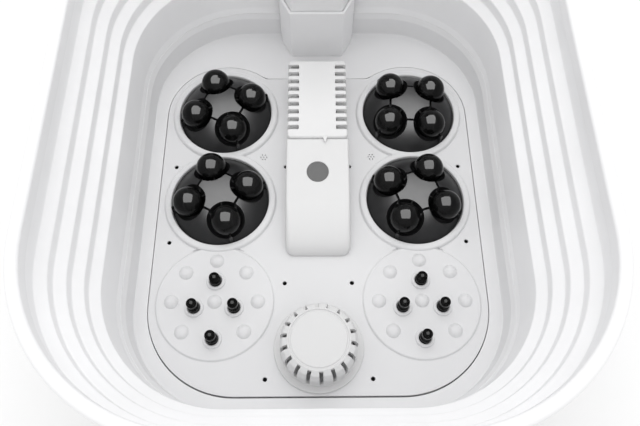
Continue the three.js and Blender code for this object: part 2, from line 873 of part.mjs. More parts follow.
function rollerDome() {
  const cap = domeCap(discRadius, -discWellDepth + turnGap);
  const hub = post(hubRadius, gearHubBottom + gearFloor + seatGap - plateTop, 0, 0, 0, hubSegments);
  const earOuter = discRadius - seatGap;
  const earTop = ballHeight - (earOuter - earThickness - ballRing) * Math.tan(axleTilt) + earAboveAxle;
  const ears = [];
  for (let i = 0; i < ballsPerDisc; i += 1) {
    const ear = block(earThickness, earWidth, 0, earTop, earOuter - earThickness / 2, 0);
    ears.push(ear.rotateZ(ballTurn(i)));
  }
  const sockets = ballCutters(socketRadius, axleBore);
  const spheres = sockets.filter((cutter, i) => i % 2 === 0);
  const bores = sockets.filter((cutter, i) => i % 2 === 1);
  const recess = prism(starOutline(starHalfSide + starSeam), starFloor, domeHeight + overrun);
  return cut(join(cut(join(cap, hub), ...spheres, recess), ...ears), ...bores);
}

function starCap() {
  const cap = domeCap(starHalfSide * Math.SQRT2, 0, roundSegments);
  const square = prism(starOutline(starHalfSide), starFloor + starSeam, domeHeight + overrun);
  return cut(overlapOf(cap, square), ...ballCutters(socketRadius, axleBore));
}

// The ball and its axle are turned together about X
function massageBall() {
  const profile = [[0, -axleInner], [axleRadius, -axleInner]];
  const neck = Math.asin(axleRadius / ballRadius);
  for (let i = 0; i <= ballRows; i += 1) {
    const angle = neck + (Math.PI - 2 * neck) * i / ballRows;
    profile.push([ballRadius * Math.sin(angle), -ballRadius * Math.cos(angle)]);
  }
  profile.push([axleRadius, axleOuter], [0, axleOuter]);
  return turned(profile, smallSegments).rotateY(Math.PI / 2);
}

// Each disc stands at its photographed turn, and its gear keeps the teeth in mesh
const discTurns = {
  rear_left: 20 * Math.PI / 180,
  front_left: 17 * Math.PI / 180,
  rear_right: 41 * Math.PI / 180,
  front_right: 63.5 * Math.PI / 180,
};

discPlaces.forEach(([name, side, y]) => {
  const x = side * discX;
  const turn = discTurns[name];
  const gearTurn = y > pinionY ? -Math.PI / 2 : Math.PI / 2;
  addPart(`gear_${name}`, discGear(), gearWhite, x, y, 0, gearTurn);
  addPart(`dome_${name}`, rollerDome(), glossBlack, x, y, plateTop, turn);
  addPart(`star_${name}`, starCap(), glossBlack, x, y, plateTop, turn);
  for (let i = 0; i < ballsPerDisc; i += 1) {
    const ball = massageBall().rotateY(axleTilt).rotateZ(turn + ballTurn(i));
    const ballX = x + ballRing * Math.cos(turn + ballTurn(i));
    const ballY = y + ballRing * Math.sin(turn + ballTurn(i));
    addPart(`ball_${name}_${i + 1}`, ball, ballBlack, ballX, ballY, plateTop + ballHeight);
  }
});

// Herb cup in the plate, under the lift-off cap
function herbCup() {
  const floor = plateTop - cupDepth;
  const lip = plateTop + seatGap;
  const top = lip + cupFlangeHeight;
  const inside = cupRadius - cupWall;
  return turned([
    [0, floor], [cupRadius, floor], [cupRadius, lip], [cupFlange, lip], [cupFlange, top],
    [inside, top], [inside, floor + cupWall], [0, floor + cupWall],
  ]);
}

addPart('herb_cup', herbCup(), greyShell, 0, capY);

function herbCap() {
  const low = plateTop + seatGap;
  const flangeTop = low + capFlangeHeight;
  const shoulder = plateTop + capShoulder;
  const top = plateTop + capHeight;
  const shell = turned([
    [capFlange - capWall, low], [capFlange, low], [capFlange, flangeTop],
    [capRadius, flangeTop + capWall / 2], [capRadius, shoulder],
    [(capRadius + capTopRadius + capWall) / 2, top - capWall], [capTopRadius, top],
    [0, top], [0, top - capWall], [capTopRadius - capWall, top - capWall],
    [capRadius - capWall, shoulder], [capRadius - capWall, low], [capFlange - capWall, low],
  ], capSlots);
  const slotReach = capWall + capRadius - capTopRadius + overrun;
  const slots = [];
  for (let i = 0; i < capSlots; i += 1) {
    const slot = block(slotReach, capSlotWidth, plateTop + capSlotLow, top - capWall, capRadius);
    slots.push(slot.rotateZ(2 * Math.PI * (i + 1 / 2) / capSlots - Math.PI / 2));
  }
  return cut(shell, ...slots).rotateZ(capSlotPhase - Math.PI / capSlots);
}

addPart('herb_cap', herbCap(), whiteDetail, 0, capY);

// Heater housing
function coverSide(inset) {
  const low = plateTop + seatGap - (inset > 0 ? overrun : 0);
  const rear = coverStepY - seatGap / 2 - inset;
  const front = coverFrontY + inset;
  const bend = coverBendY;
  const points = [[front, low], [rear, low], [rear, plateTop + coverTop - inset]];
  const frontTop = plateTop + coverFrontTop - inset;
  const reach = bend - front;
  const rise = frontTop - low;
  for (let i = 0; i <= cornerSteps; i += 1) {
    const angle = Math.PI / 2 * (i / (cornerSteps + 1));
    points.push([bend - reach * Math.sin(angle), low + rise * Math.cos(angle)]);
  }
  return points.map(([y, z]) => new THREE.Vector2(y, z));
}

function coverPlan(halfWidth, front, rear, corner) {
  const plan = roundedRectangle(halfWidth, (rear - front) / 2, corner, edgeSteps);
  return plan.map((point) => new THREE.Vector2(point.x, point.y + (rear + front) / 2));
}

const lensY = coverStepY - lensInset;

function frontCover() {
  const low = plateTop;
  const high = plateTop + grilleTop + overrun;
  const rear = coverStepY - seatGap / 2;
  const outerPlan = coverPlan(coverHalfWidth, coverFrontY, rear + coverCorner, coverCorner);
  const outer = overlapOf(sideways(coverSide(0), coverHalfWidth), prism(outerPlan, low, high));
  const innerHalf = coverHalfWidth - coverWall;
  const innerFront = coverFrontY + coverWall;
  const innerPlan = coverPlan(innerHalf, innerFront, rear + coverCorner, coverCorner - coverWall);
  const innerSide = sideways(coverSide(coverWall), coverHalfWidth);
  const inner = overlapOf(innerSide, prism(innerPlan, low - overrun, high));
  const lensTop = plateTop + coverTop;
  const seatTop = lensTop - lensBossDepth + lensRest;
  const boss = post(lensRadius + lensLedge, seatTop - lensDepth, lensTop - coverWall, 0, lensY);
  const seat = post(lensRadius + seatGap, seatTop, lensTop + overrun, 0, lensY, hubSegments);
  const through = post(lensRadius - lensLedge, plateTop, lensTop, 0, lensY);
  return cut(join(cut(outer, inner), boss), seat, through);
}

addPart('front_cover', frontCover(), whiteDetail);

const lensSeat = plateTop + coverTop - lensBossDepth + lensRest + seatGap;
const lampLens = post(lensRadius, lensSeat, lensSeat + lensThickness, 0, 0, hubSegments);
addPart('lamp_lens', lampLens, lensGrey, 0, lensY);

function grilleCover() {
  const low = plateTop + seatGap;
  const top = plateTop + grilleTop;
  const front = coverStepY + seatGap / 2;
  const outer = prism(coverPlan(grilleHalfWidth, front, grilleRearY, grilleCorner), low, top);
  const innerHalf = grilleHalfWidth - coverWall;
  const innerPlan = coverPlan(innerHalf, front + coverWall, grilleRearY - coverWall, coverWall);
  const inner = prism(innerPlan, low - overrun, top - coverWall);
  const slots = [];
  for (let i = 0; i < grilleSlots; i += 1) {
    const y = coverStepY + grilleFirstInset + i * grillePitch;
    const width = grilleSlotReach + overrun;
    const x = grilleHalfWidth - grilleSlotReach + width / 2;
    slots.push(block(width, grilleSlotWidth, top - grilleSlotDrop, top + overrun, -x, y));
    slots.push(block(width, grilleSlotWidth, top - grilleSlotDrop, top + overrun, x, y));
  }
  return cut(outer, inner, ...slots);
}

addPart('grille_cover', grilleCover(), whiteDetail);

// Finned heater on the plate inside the housing
function heater() {
  const body = block(heaterWidth, heaterLength, 0, heaterHeight - heaterFinHeight);
  const pitch = heaterLength / heaterFins;
  const fins = [];
  for (let i = 0; i < heaterFins; i += 1) {
    const y = (i - (heaterFins - 1) / 2) * pitch;
    const low = heaterHeight - heaterFinHeight - overrun;
    fins.push(block(heaterWidth, heaterFinShare * pitch, low, heaterHeight, 0, y));
  }
  return join(body, ...fins);
}

addPart('heater', heater(), heaterAluminium, 0, (coverStepY + grilleRearY) / 2, plateTop + seatGap);

// Lower pillar
function lowerPillar() {
  const low = plateTop + seatGap;
  const outer = prism(pillarOutline(0), low, pillarTop);
  return cut(outer, prism(pillarOutline(pillarWall), low - overrun, pillarTop + overrun));
}

addPart('pillar_lower', lowerPillar(), greyShell);

// Folding wall, drawn as an outer line up and an inner line back down
function foldingWall() {
  const foldsBottom = wallBottom + wallFootHeight;
  const foldsTop = wallTop - rimInnerHeight - rimRoof;
  const pitch = (foldsTop - foldsBottom) / foldCount;
  const line = [[wallFootOffset, wallBottom]];
  for (let i = 0; i < foldCount; i += 1) {
    line.push([wallFootOffset + i * foldStep, foldsBottom + i * pitch]);
    line.push([wallFootOffset + (i + 1) * foldStep, foldsBottom + i * pitch + foldRise]);
  }
  line.push([wallTopOffset, wallTop]);
  const outer = line.map(([offset, z]) => [offset + wallThickness, z]);
  return aroundBasin([...outer, ...line.reverse()]);
}

addPart('folding_wall', foldingWall(), greyWall);

// Rim: a channel that holds the top of the folding wall
const rimInnerEdge = wallTopOffset - seatGap - rimInnerWall;

function rimProfile(grow) {
  const inner = rimInnerEdge - grow;
  const outer = rimOuterOffset + grow;
  const top = rimTop + grow;
  const roof = rimTop - rimRoof;
  return [
    [inner, roof - rimInnerHeight + rimRoof - grow],
    [inner + rimInnerWall, roof - rimInnerHeight + rimRoof - grow],
    [inner + rimInnerWall, roof],
    [outer - rimDraft - rimOuterWall, roof],
    [outer - rimOuterWall, rimTop - rimHeight],
    [outer, rimTop - rimHeight],
    [outer - rimDraft, top - rimEdge],
    [outer - rimDraft - rimEdge, top],
    [inner + rimEdge, top],
    [inner, top - rimEdge],
  ];
}

addPart('rim', aroundBasin(rimProfile(0)), greyShell);

// Control head: a saddle over the rear of the rim with a tongue that runs in the pillar
function tilted(geometry) {
  return bare(geometry.rotateX(headTilt).translate(0, headMiddleY, headMiddleTop));
}

function headBody() {
  const slope = Math.tan(headTilt) * (headRearY - headFrontY) / 2;
  const side = [
    new THREE.Vector2(headFrontY, headUnderside), new THREE.Vector2(headRearY, headUnderside),
    new THREE.Vector2(headRearY, headMiddleTop + slope), new THREE.Vector2(headFrontY, headMiddleTop - slope),
  ];
  const plan = coverPlan(headHalfWidth, headFrontY, headRearY, headCorner);
  const high = headMiddleTop + 2 * slope + headCorner;
  return overlapOf(sideways(side, headHalfWidth), prism(plan, headUnderside - overrun, high));
}

function panelOutline(offset) {
  return roundedRectangle(panelHalfWidth + offset, panelHalfLength + offset, panelCorner + offset, edgeSteps);
}

function buttonX(i) {
  return (i - (buttonCount - 1) / 2) * buttonPitch;
}

const panelTop = -panelSink;
const panelUnderside = panelTop - panelThickness;
const boardTop = panelUnderside - seatGap - buttonFlangeHeight - buttonTravel - seatGap;
const boardUnderside = boardTop - controlThickness;

function controlHead() {
  const saddle = aroundBasin([
    [rimInnerEdge - seatGap, headUnderside - rimHeight],
    [rimOuterOffset + rimHeight, headUnderside - rimHeight],
    [rimOuterOffset + rimHeight, rimTop + seatGap],
    [rimInnerEdge - seatGap, rimTop + seatGap],
  ]);
  const tongueLow = pillarTop - tongueOverlap;
  const tongueInset = pillarWall + tongueGap;
  const tongue = prism(pillarOutline(tongueInset), tongueLow, headUnderside + overrun);
  const ductHigh = headUnderside + headWall + overrun;
  const duct = prism(pillarOutline(tongueInset + tongueWall), tongueLow - overrun, ductHigh);
  const opening = tilted(prism(panelOutline(seatGap), panelUnderside - seatGap, overrun + headCorner));
  const hollow = tilted(prism(panelOutline(-panelLedge), boardUnderside - seatGap, headCorner));
  return cut(join(cut(headBody(), saddle), tongue), duct, opening, hollow);
}

addPart('control_head', controlHead(), greyShell);

function displayPanel() {
  const plate = prism(panelOutline(0), panelUnderside, panelTop);
  const holes = [];
  for (let i = 0; i < buttonCount; i += 1) {
    const holeRadius = buttonRadius + seatGap;
    holes.push(post(holeRadius, panelUnderside - overrun, overrun, buttonX(i), buttonY, hubSegments));
  }
  return tilted(cut(plate, ...holes));
}

addPart('display_panel', displayPanel(), panelBlack);

function headButton(i) {
  const flangeTop = panelUnderside - seatGap;
  const flangeBottom = flangeTop - buttonFlangeHeight;
  const cap = post(buttonRadius, flangeBottom, panelTop + buttonLift, buttonX(i), buttonY, hubSegments);
  const flange = post(buttonRadius + buttonFlange, flangeBottom, flangeTop, buttonX(i), buttonY, hubSegments);
  return tilted(join(cap, flange));
}

['button_massage', 'button_power', 'button_bubbles'].forEach((name, i) => {
  addPart(name, headButton(i), greyShell);
});

// Control board on the ledge at the bottom of the head's hollow
const controlHalfWidth = panelHalfWidth - panelLedge - controlBack;
const controlHalfLength = panelHalfLength - panelLedge - controlBack;
const controlBoard = block(2 * controlHalfWidth, 2 * controlHalfLength, boardUnderside, boardTop);
addPart('control_board', tilted(controlBoard), boardGreen);

export default group;
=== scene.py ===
"""Looks of the collapsible foot spa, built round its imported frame.

Sizes are in millimetres in the part's own frame, and become metres where a mesh is made.
"""
from math import asin, atan, atan2, cos, dist, pi, radians, sin, sqrt, tan

import bmesh
import bpy
import numpy as np
from mathutils import Matrix, Vector


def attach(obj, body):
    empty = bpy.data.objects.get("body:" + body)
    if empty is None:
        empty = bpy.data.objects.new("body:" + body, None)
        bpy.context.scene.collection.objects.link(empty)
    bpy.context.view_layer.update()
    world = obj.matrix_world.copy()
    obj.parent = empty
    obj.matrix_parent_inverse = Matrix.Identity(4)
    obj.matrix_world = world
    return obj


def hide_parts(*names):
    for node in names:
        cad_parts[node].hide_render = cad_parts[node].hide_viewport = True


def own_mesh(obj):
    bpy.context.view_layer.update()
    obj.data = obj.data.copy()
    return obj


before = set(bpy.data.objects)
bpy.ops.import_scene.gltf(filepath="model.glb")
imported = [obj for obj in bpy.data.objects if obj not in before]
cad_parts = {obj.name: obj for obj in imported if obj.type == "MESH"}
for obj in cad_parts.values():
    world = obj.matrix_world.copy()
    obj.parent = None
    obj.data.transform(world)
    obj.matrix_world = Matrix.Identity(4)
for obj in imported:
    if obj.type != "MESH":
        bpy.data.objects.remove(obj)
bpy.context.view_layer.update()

MM = 0.001
QUARTER = pi / 2
SIDES = (-1, 1)

# Fineness of round stretches
TURN_STEPS = 96
BALL_STEPS = 64
SMALL_STEPS = 32
HOLE_STEPS = 16
CORNER_STEPS = 22
SIDE_STEPS = 10
SOFT_STEPS = 4
CREASE = radians(32)

# Shared clearances
SEAT_GAP = 0.3
TURN_GAP = 0.6
OVERRUN = 1.0

# Basin plan
FLOOR_HALF_X = 149.0
FLOOR_HALF_Y = 181.75
FLOOR_CORNER = 86.0

# Levels
PAN_UNDERSIDE = 6.0
PLATE_TOP = 72.0
WELL_FLOOR_TOP = 51.0
RIM_TOP = 226.0
RIM_TRAVEL = 85.0

# Walls of the base
PAN_WALL = 2.6
PAN_FLOOR = 3.0
PAN_SIDE = 12.0
PAN_FOOT = 3.0
PAN_MIDDLE = -8.0
PAN_TURN = 8.5
PAN_TURN_RISE = 3.0
PAN_SIDE_HEIGHT = 11.0
PAN_SHOULDER = 34.0
PAN_LIP = 9.0
VENTS = 6
VENT_PITCH = 11.0
VENT_Y = 150.0
VENT_HALF_WIDTH = 2.0
VENT_HALF_LENGTH = 13.0
TUB_FLOOR = 3.0
TUB_WALL = 2.6
RIDGE_OFFSET = 0.6
RIDGE_WIDTH = 3.0
RIDGE_TOP = 97.0
GROOVE = 4.0
GROOVE_DEPTH = 6.0
LIP_WIDTH = 2.6
LIP_TOP = 101.0
FLOOR_FILLET = 1.0
RIDGE_SLOPE = 5.0
SEAT_SHIFT = 0.3
SEAT_STRETCH_Y = -122.0
SEAT_STRETCH = 0.010

# Foot plate
PLATE_HALF_X = 137.5
PLATE_FRONT_Y = -167.75
PLATE_REAR_Y = 127.25
PLATE_MIDDLE_Y = -20.0
PLATE_FRONT_RADIUS = 73.0
PLATE_LEAD = 0.75
PLATE_FILLET = 9.0
PLATE_THICK = 3.0
PLATE_SEAM = 0.5
SEAM_MOAT = 5.0
SEAM_MOAT_REACH = -0.4
PLATE_LEDGE = 4.0
PLATE_EDGE = 0.6
FLOOR_MARGIN = -6.0

# Roller discs
DISC_X = 84.2
FRONT_DISC_Y = -2.25
DISC_SPACING = 88.75
DISC_RADIUS = 41.4
DISC_SKIRT = 0.8
DOME_HEIGHT = 22.5
WELL_DEPTH = 5.6
WELL_WALL = 2.4
WELL_EDGE = 1.3
RING_OUTER = 48.2
RING_HEIGHT = 3.6
RING_FLARE = 1.6
STEP_DRAFT = 0.8
HUB_RADIUS = 7.0
HUB_LOW = -16.3
BALLS = 4
BALL_RADIUS = 12.9
BALL_RING = 26.0
BALL_HEIGHT = 15.0
SOCKET_RADIUS = 16.0
AXLE_TILT = radians(12)
AXLE_RADIUS = 1.1
AXLE_BORE = 1.4
AXLE_INNER = 17.2
AXLE_OUTER = 15.0
EAR_WIDTH = 2.8
EAR_THICK = 1.8
EAR_ABOVE = -0.1
STAR_HALF = 18.0
STAR_SEAM = 2.0
STAR_FLOOR = 16.97
STAR_RISE = 20.3
STAR_EDGE = 19.1
STAR_CORNER = 17.9
SEAM_DEPTH = 9.0
REAR_DISC_Y = FRONT_DISC_Y + DISC_SPACING
DISCS = {
    "rear_left": (-DISC_X, REAR_DISC_Y, 20.0),
    "front_left": (-DISC_X, FRONT_DISC_Y, 17.0),
    "rear_right": (DISC_X, REAR_DISC_Y, 41.0),
    "front_right": (DISC_X, FRONT_DISC_Y, 63.5),
}

# Pads and pins
PAD_X = 83.8
PAD_Y = -93.25
PAD_RADIUS = 48.0
PAD_HEIGHT = 1.8
PAD_FLARE = 1.2
BUMP_RING = 34.9
BUMP_RADIUS = 5.9
BUMP_HEIGHT = 3.4
BUMP_EIGHTHS = (0, 1, 2, 3, 4, 5, 7)
POCKET_X = 18.9
POCKET_Y = -48.4
POCKET_HALF_LENGTH = 2.4
POCKET_HALF_WIDTH = 0.8
POCKET_DEPTH = 0.9
POCKET_TURN = radians(22)
COLLAR_RADIUS = 7.75
COLLAR_HEIGHT = 4.0
PIN_RADIUS = 4.65
PIN_HOLE = 5.0
PIN_NECK = 3.3
PIN_STAGE = 10.0
PIN_STEP = 2.5
PIN_TIP_RADIUS = 4.2
PIN_TIP = 8.0
PIN_TIP_SHORT = 4.5
PIN_CROWN = 1.9
PINS = ((0.0, 17.3, PIN_TIP_SHORT), (0.0, -30.7, PIN_TIP), (-16.1, -5.2, PIN_TIP), (16.1, -5.2, PIN_TIP))
WEB_THICK = 2.2
WEB_ARM = 4.5

# Herb cap and cup
CAP_Y = -130.75
CAP_FLANGE = 35.4
CAP_FLANGE_HEIGHT = 2.2
CAP_RADIUS = 30.0
CAP_TOP_RADIUS = 23.0
CAP_HEIGHT = 30.0
CAP_SHOULDER = 21.0
CAP_SHOULDER_RADIUS = 27.8
CAP_WALL = 2.2
CAP_DIP = 0.2
CAP_GROOVE = 0.9
CAP_SLOTS = 18
CAP_PHASE = radians(3.3)
CAP_SLOT_WIDTH = 3.0
CAP_SLOT_LOW = 8.0
CAP_SLOT_START = 24.2
CUP_RADIUS = 24.0
CUP_WALL = 1.8
CUP_DEPTH = 16.0
CUP_FLANGE = 27.0
CUP_FLANGE_HEIGHT = 1.6

# Housing
COVER_HALF = 27.0
COVER_FRONT_Y = -53.75
COVER_STEP_Y = 44.25
COVER_TOP = 27.0
COVER_FRONT_TOP = 21.0
COVER_BEND_Y = -12.0
COVER_CORNER = 8.0
COVER_WALL = 2.4
COVER_EDGE = 2.2
COVER_NOSE_EDGE = 3.5
GRILLE_HALF = 26.0
GRILLE_REAR_Y = 125.25
GRILLE_TOP = 30.0
GRILLE_SLOTS = 9
GRILLE_PITCH = 8.0
GRILLE_FIRST_Y = 54.2
GRILLE_SLOT_WIDTH = 4.5
GRILLE_SLOT_REACH = 9.8
GRILLE_SLOT_DROP = 12.0
GRILLE_EDGE = 1.8
GRILLE_CORNER = 3.0
LENS_Y = 13.8
LENS_RADIUS = 9.0
LENS_THICK = 2.4
LENS_DISH = 1.3
LENS_SUNK = 0.4
INDEX_X = 6.5
INDEX_LENGTH = 5.0
INDEX_HALF = 2.2

# Screws and bubble holes
SCREW_RADIUS = 1.7
SCREW_HEAD = 1.5
SCREW_LENGTH = 3.0
SCREW_RECESS = 0.8
SCREW_CROSS = (1.0, 0.25)
SCREW_CROSS_DEPTH = 1.3
SCREW_FLARE = 0.4
SCREW_PLACES = ((125.4, 31.6), (28.2, 31.6), (125.4, -40.9), (27.6, -77.3), (41.7, -154.9))
BUBBLE_X = 48.1
BUBBLE_Y = 41.5
BUBBLE_RING = 2.6
BUBBLE_HOLE = 0.62
BUBBLES = 6

# Pillar
PILLAR_FRONT_Y = 154.0
PILLAR_FRONT_HALF = 24.5
PILLAR_SIDE_Y = 172.0
PILLAR_SIDE_HALF = 33.6
PILLAR_WALL_HALF = 35.0
PILLAR_WALL = 2.4
PILLAR_BACK_GAP = 0.6
PILLAR_EDGE = 0.9

# Folding wall and rim
WALL_THICK = 2.1
WALL_FOOT_HEIGHT = 50.0
FOLDS = 4
FOLD_STEP = 6.4
FOLD_RISE = 7.0
FOLD_SOFTNESS = 2.4
SEAL_RISE = 7.0
SEAL_DEPTH = 3.0
SEAL_GAP = 0.06
RIM_HEIGHT = 30.0
RIM_INNER_HEIGHT = 13.0
RIM_ROOF = 4.0
RIM_INNER_WALL = 2.5
RIM_OUTER_WALL = 2.6
RIM_OUTER = 36.5
RIM_DRAFT = 0.8

# Control head
HEAD_HALF = 43.0
HEAD_FRONT_Y = 150.0
HEAD_UNDERSIDE = 217.0
HEAD_MIDDLE_TOP = 237.0
HEAD_TILT = radians(8)
HEAD_CORNER = 9.0
HEAD_EDGE = 2.4
HEAD_LOW_EDGE = 1.2
BOARD_ROOM = 7.7
TONGUE_GAP = 0.6
TONGUE_WALL = 2.0
TONGUE_OVERLAP = 16.0
PANEL_HALF_X = 37.0
PANEL_HALF_Y = 26.0
PANEL_CORNER = 6.0
PANEL_TOP = -0.3
PANEL_THICK = 2.4
PANEL_EDGE = 0.6
WINDOW_HALF = (20.0, 7.0)
WINDOW_Y = 10.0
WINDOW_DEPTH = 0.35
BUTTON_X = {"button_massage": -22.0, "button_power": 0.0, "button_bubbles": 22.0}
BUTTON_Y = -12.0
BUTTON_RADIUS = 6.5
BUTTON_FLANGE = 7.7
BUTTON_FLANGE_THICK = 1.2
BUTTON_LIFT = 1.0
BUTTON_DISH = 0.35
MARK_HEIGHT = 0.3

# Feet and gland
FOOT_RADIUS = 12.0
FOOT_TOP = 7.3
FOOT_SOCKET = 1.6
FOOT_GROOVE = 0.5
FOOT_PLACES = {
    "foot_front_left": (-112.0, -132.0),
    "foot_front_right": (112.0, -132.0),
    "foot_rear_right": (112.0, 132.0),
    "foot_rear_left": (-112.0, 132.0),
}
GLAND_X = 59.0
GLAND_Z = 22.0
GLAND_FLANGE = 9.0
GLAND_FLANGE_THICK = 2.2
GLAND_SLEEVE = 6.0
GLAND_BORE = 3.4
GLAND_TAIL = 12.8

# Places worked out from the sizes above
PLATE_UNDERSIDE = PLATE_TOP - PLATE_THICK
PLATE_MIDDLE = PLATE_TOP - PLATE_THICK / 2
PLATE_REST = PLATE_UNDERSIDE - SEAT_GAP
WELL_UNDERSIDE = WELL_FLOOR_TOP - TUB_FLOOR
DISC_WELL_TOP = PLATE_TOP - WELL_DEPTH
PILLAR_TOP = HEAD_UNDERSIDE - RIM_TRAVEL - 1.0
WALL_FOOT_OFFSET = RIDGE_OFFSET + RIDGE_WIDTH + (GROOVE - WALL_THICK) / 2
WALL_BOTTOM = RIDGE_TOP - GROOVE_DEPTH + SEAT_GAP
WALL_TOP = RIM_TOP - RIM_ROOF - SEAT_GAP
WALL_TOP_OFFSET = WALL_FOOT_OFFSET + FOLDS * FOLD_STEP
LIP_OFFSET = RIDGE_OFFSET + RIDGE_WIDTH + GROOVE
RIM_INNER = WALL_TOP_OFFSET - SEAT_GAP - RIM_INNER_WALL
HEAD_REAR_Y = FLOOR_HALF_Y + RIM_OUTER
HEAD_MIDDLE_Y = (HEAD_FRONT_Y + HEAD_REAR_Y) / 2


# Outlines and shapes: a shape is a list of points and a list of faces
def soften(corners, steps=SOFT_STEPS):
    """Rounds the corners of an outline. A corner is (a, b, radius), and an open path has no radius at its ends."""
    outline = []
    for i, (a, b, radius) in enumerate(corners):
        here = Vector((a, b))
        if radius == 0:
            outline.append((a, b))
            continue
        back = Vector(corners[i - 1][:2]) - here
        ahead = Vector(corners[(i + 1) % len(corners)][:2]) - here
        half = back.angle(ahead) / 2
        reach = min(radius / tan(half), back.length / 2, ahead.length / 2)
        centre = here + (back.normalized() + ahead.normalized()).normalized() * reach / cos(half)
        start = here + back.normalized() * reach - centre
        end = here + ahead.normalized() * reach - centre
        turn = start.angle_signed(end)
        for step in range(steps + 1):
            point = centre + Matrix.Rotation(-turn * step / steps, 2) @ start
            outline.append(tuple(point))
    return outline


def on_circle(radius, angles, x=0.0, y=0.0):
    return [(x + radius * cos(a), y + radius * sin(a)) for a in angles]


def arc(x, y, radius, start, end, steps):
    return on_circle(radius, np.linspace(start, end, steps + 1), x, y)


def subdivided(outline, longest):
    """Adds points along the long straight stretches of a closed outline."""
    points = []
    for here, ahead in zip(outline, outline[1:] + outline[:1]):
        count = max(1, int(dist(here, ahead) // longest))
        for i in range(count):
            share = i / count
            points.append(tuple(h + (a - h) * share for h, a in zip(here, ahead)))
    return points


def rounded_rectangle(half_x, half_y, radius, steps=CORNER_STEPS, sides=SIDE_STEPS):
    outline = []
    for i, (x, y) in enumerate(((1, -1), (1, 1), (-1, 1), (-1, -1))):
        start = (i - 1) * QUARTER
        outline += arc(x * (half_x - radius), y * (half_y - radius), radius, start, start + QUARTER, steps)
    corner = steps + 1
    whole = []
    for i, here in enumerate(outline):
        whole.append(here)
        if i % corner == corner - 1:
            ahead = outline[(i + 1) % len(outline)]
            whole += [tuple(h + (a - h) * j / sides for h, a in zip(here, ahead)) for j in range(1, sides)]
    return whole


def basin(offset):
    return rounded_rectangle(FLOOR_HALF_X + offset, FLOOR_HALF_Y + offset, FLOOR_CORNER + offset)


def plate_outline(offset, longest=12.0):
    """Round front corners, and a bulge behind each rear disc."""
    bulge = PLATE_HALF_X - DISC_X
    bulge_y = REAR_DISC_Y + PLATE_LEAD
    rise = PLATE_REAR_Y - bulge_y
    reach = sqrt((bulge + PLATE_FILLET) ** 2 - (rise + PLATE_FILLET) ** 2)
    turn = atan2(rise + PLATE_FILLET, -reach)
    corner = PLATE_FRONT_RADIUS
    right = arc(PLATE_HALF_X - corner, PLATE_FRONT_Y + corner, corner + offset, -QUARTER, 0, CORNER_STEPS)
    right += arc(DISC_X, bulge_y, bulge + offset, 0, turn, 2 * CORNER_STEPS)
    right += arc(DISC_X - reach, PLATE_REAR_Y + PLATE_FILLET, PLATE_FILLET - offset,
                 turn - pi, -QUARTER, SOFT_STEPS)
    return subdivided(right + [(-x, y) for x, y in reversed(right)], longest)


def plate_like_basin(offset, rays):
    """The plate's outline, sampled where rays from its middle towards the basin's points cross it."""
    middle = Vector((0.0, PLATE_MIDDLE_Y))
    outline = [Vector(p) - middle for p in plate_outline(offset, 2.0)]
    outline.sort(key=lambda p: atan2(p.y, p.x))
    angles = np.array([atan2(p.y, p.x) for p in outline])
    radii = np.array([p.length for p in outline])
    wanted = [atan2(y - middle.y, x) for x, y in rays]
    found = np.interp(wanted, angles, radii, period=2 * pi)
    return [(middle.x + r * cos(a), middle.y + r * sin(a)) for a, r in zip(wanted, found)]


def pillar_outline(inset, radius=1.6):
    side = PILLAR_SIDE_HALF - inset
    wall = PILLAR_WALL_HALF - inset
    back = FLOOR_HALF_Y - PILLAR_BACK_GAP - inset
    right = [
        (PILLAR_FRONT_HALF - inset / 2, PILLAR_FRONT_Y + inset, radius),
        (side, PILLAR_SIDE_Y + inset / 2, 4 * radius),
        (wall, back, radius / 2),
    ]
    return soften(right + [(-x, y, r) for x, y, r in reversed(right)])


def at(outline, z):
    return [(x, y, z) for x, y in outline]


def loft(rings, closed=False):
    """Joins rings of equally many points. An open loft gets a face at each end."""
    count = len(rings[0])
    points = [p for ring in rings for p in ring]
    faces = []
    for i in range(len(rings) if closed else len(rings) - 1):
        here, ahead = i * count, (i + 1) % len(rings) * count
        for j in range(count):
            k = (j + 1) % count
            faces.append((here + j, here + k, ahead + k, ahead + j))
    if not closed:
        faces.append(tuple(range(count))[::-1])
        faces.append(tuple(range(len(points) - count, len(points))))
    return points, faces


def prism(outline, low, high):
    return loft([at(outline, low), at(outline, high)])


def rounding(edge, steps=SOFT_STEPS):
    """Places on a round edge, as how far each is from the two faces that it joins."""
    turns = [QUARTER * i / steps for i in range(steps + 1)]
    return [(edge * (1 - sin(a)), edge * (1 - cos(a))) for a in turns]


def edged_prism(outline_at, low, high, edge, steps=SOFT_STEPS):
    """A prism whose outline_at(offset) draws in round its upper edge."""
    rings = [at(outline_at(-inset), high - drop) for drop, inset in rounding(edge, steps)]
    return loft([at(outline_at(0), low)] + rings)


def round_basin(profile):
    """Runs a closed profile of (offset, z) points round the basin."""
    return loft([at(basin(offset), z) for offset, z in profile], closed=True)


def turned(profile, steps=TURN_STEPS):
    """Turns (radius, z) points round Z. A profile that ends on the axis is closed there."""
    points, rows, faces = [], [], []
    for radius, z in profile:
        count = steps if radius > 0 else 1
        rows.append(range(len(points), len(points) + count))
        points += at(on_circle(radius, np.arange(count) * 2 * pi / steps), z)
    ahead = rows[1:] + ([] if len(rows[0]) == 1 else rows[:1])
    for low, high in zip(rows, ahead):
        for j in range(steps):
            k = (j + 1) % steps
            face = [low[j % len(low)], low[k % len(low)], high[k % len(high)], high[j % len(high)]]
            face = list(dict.fromkeys(face))
            if len(face) > 2:
                faces.append(tuple(face))
    return points, faces


def cylinder(radius, low, high, steps=SMALL_STEPS):
    return turned([(0, low), (radius, low), (radius, high), (0, high)], steps)


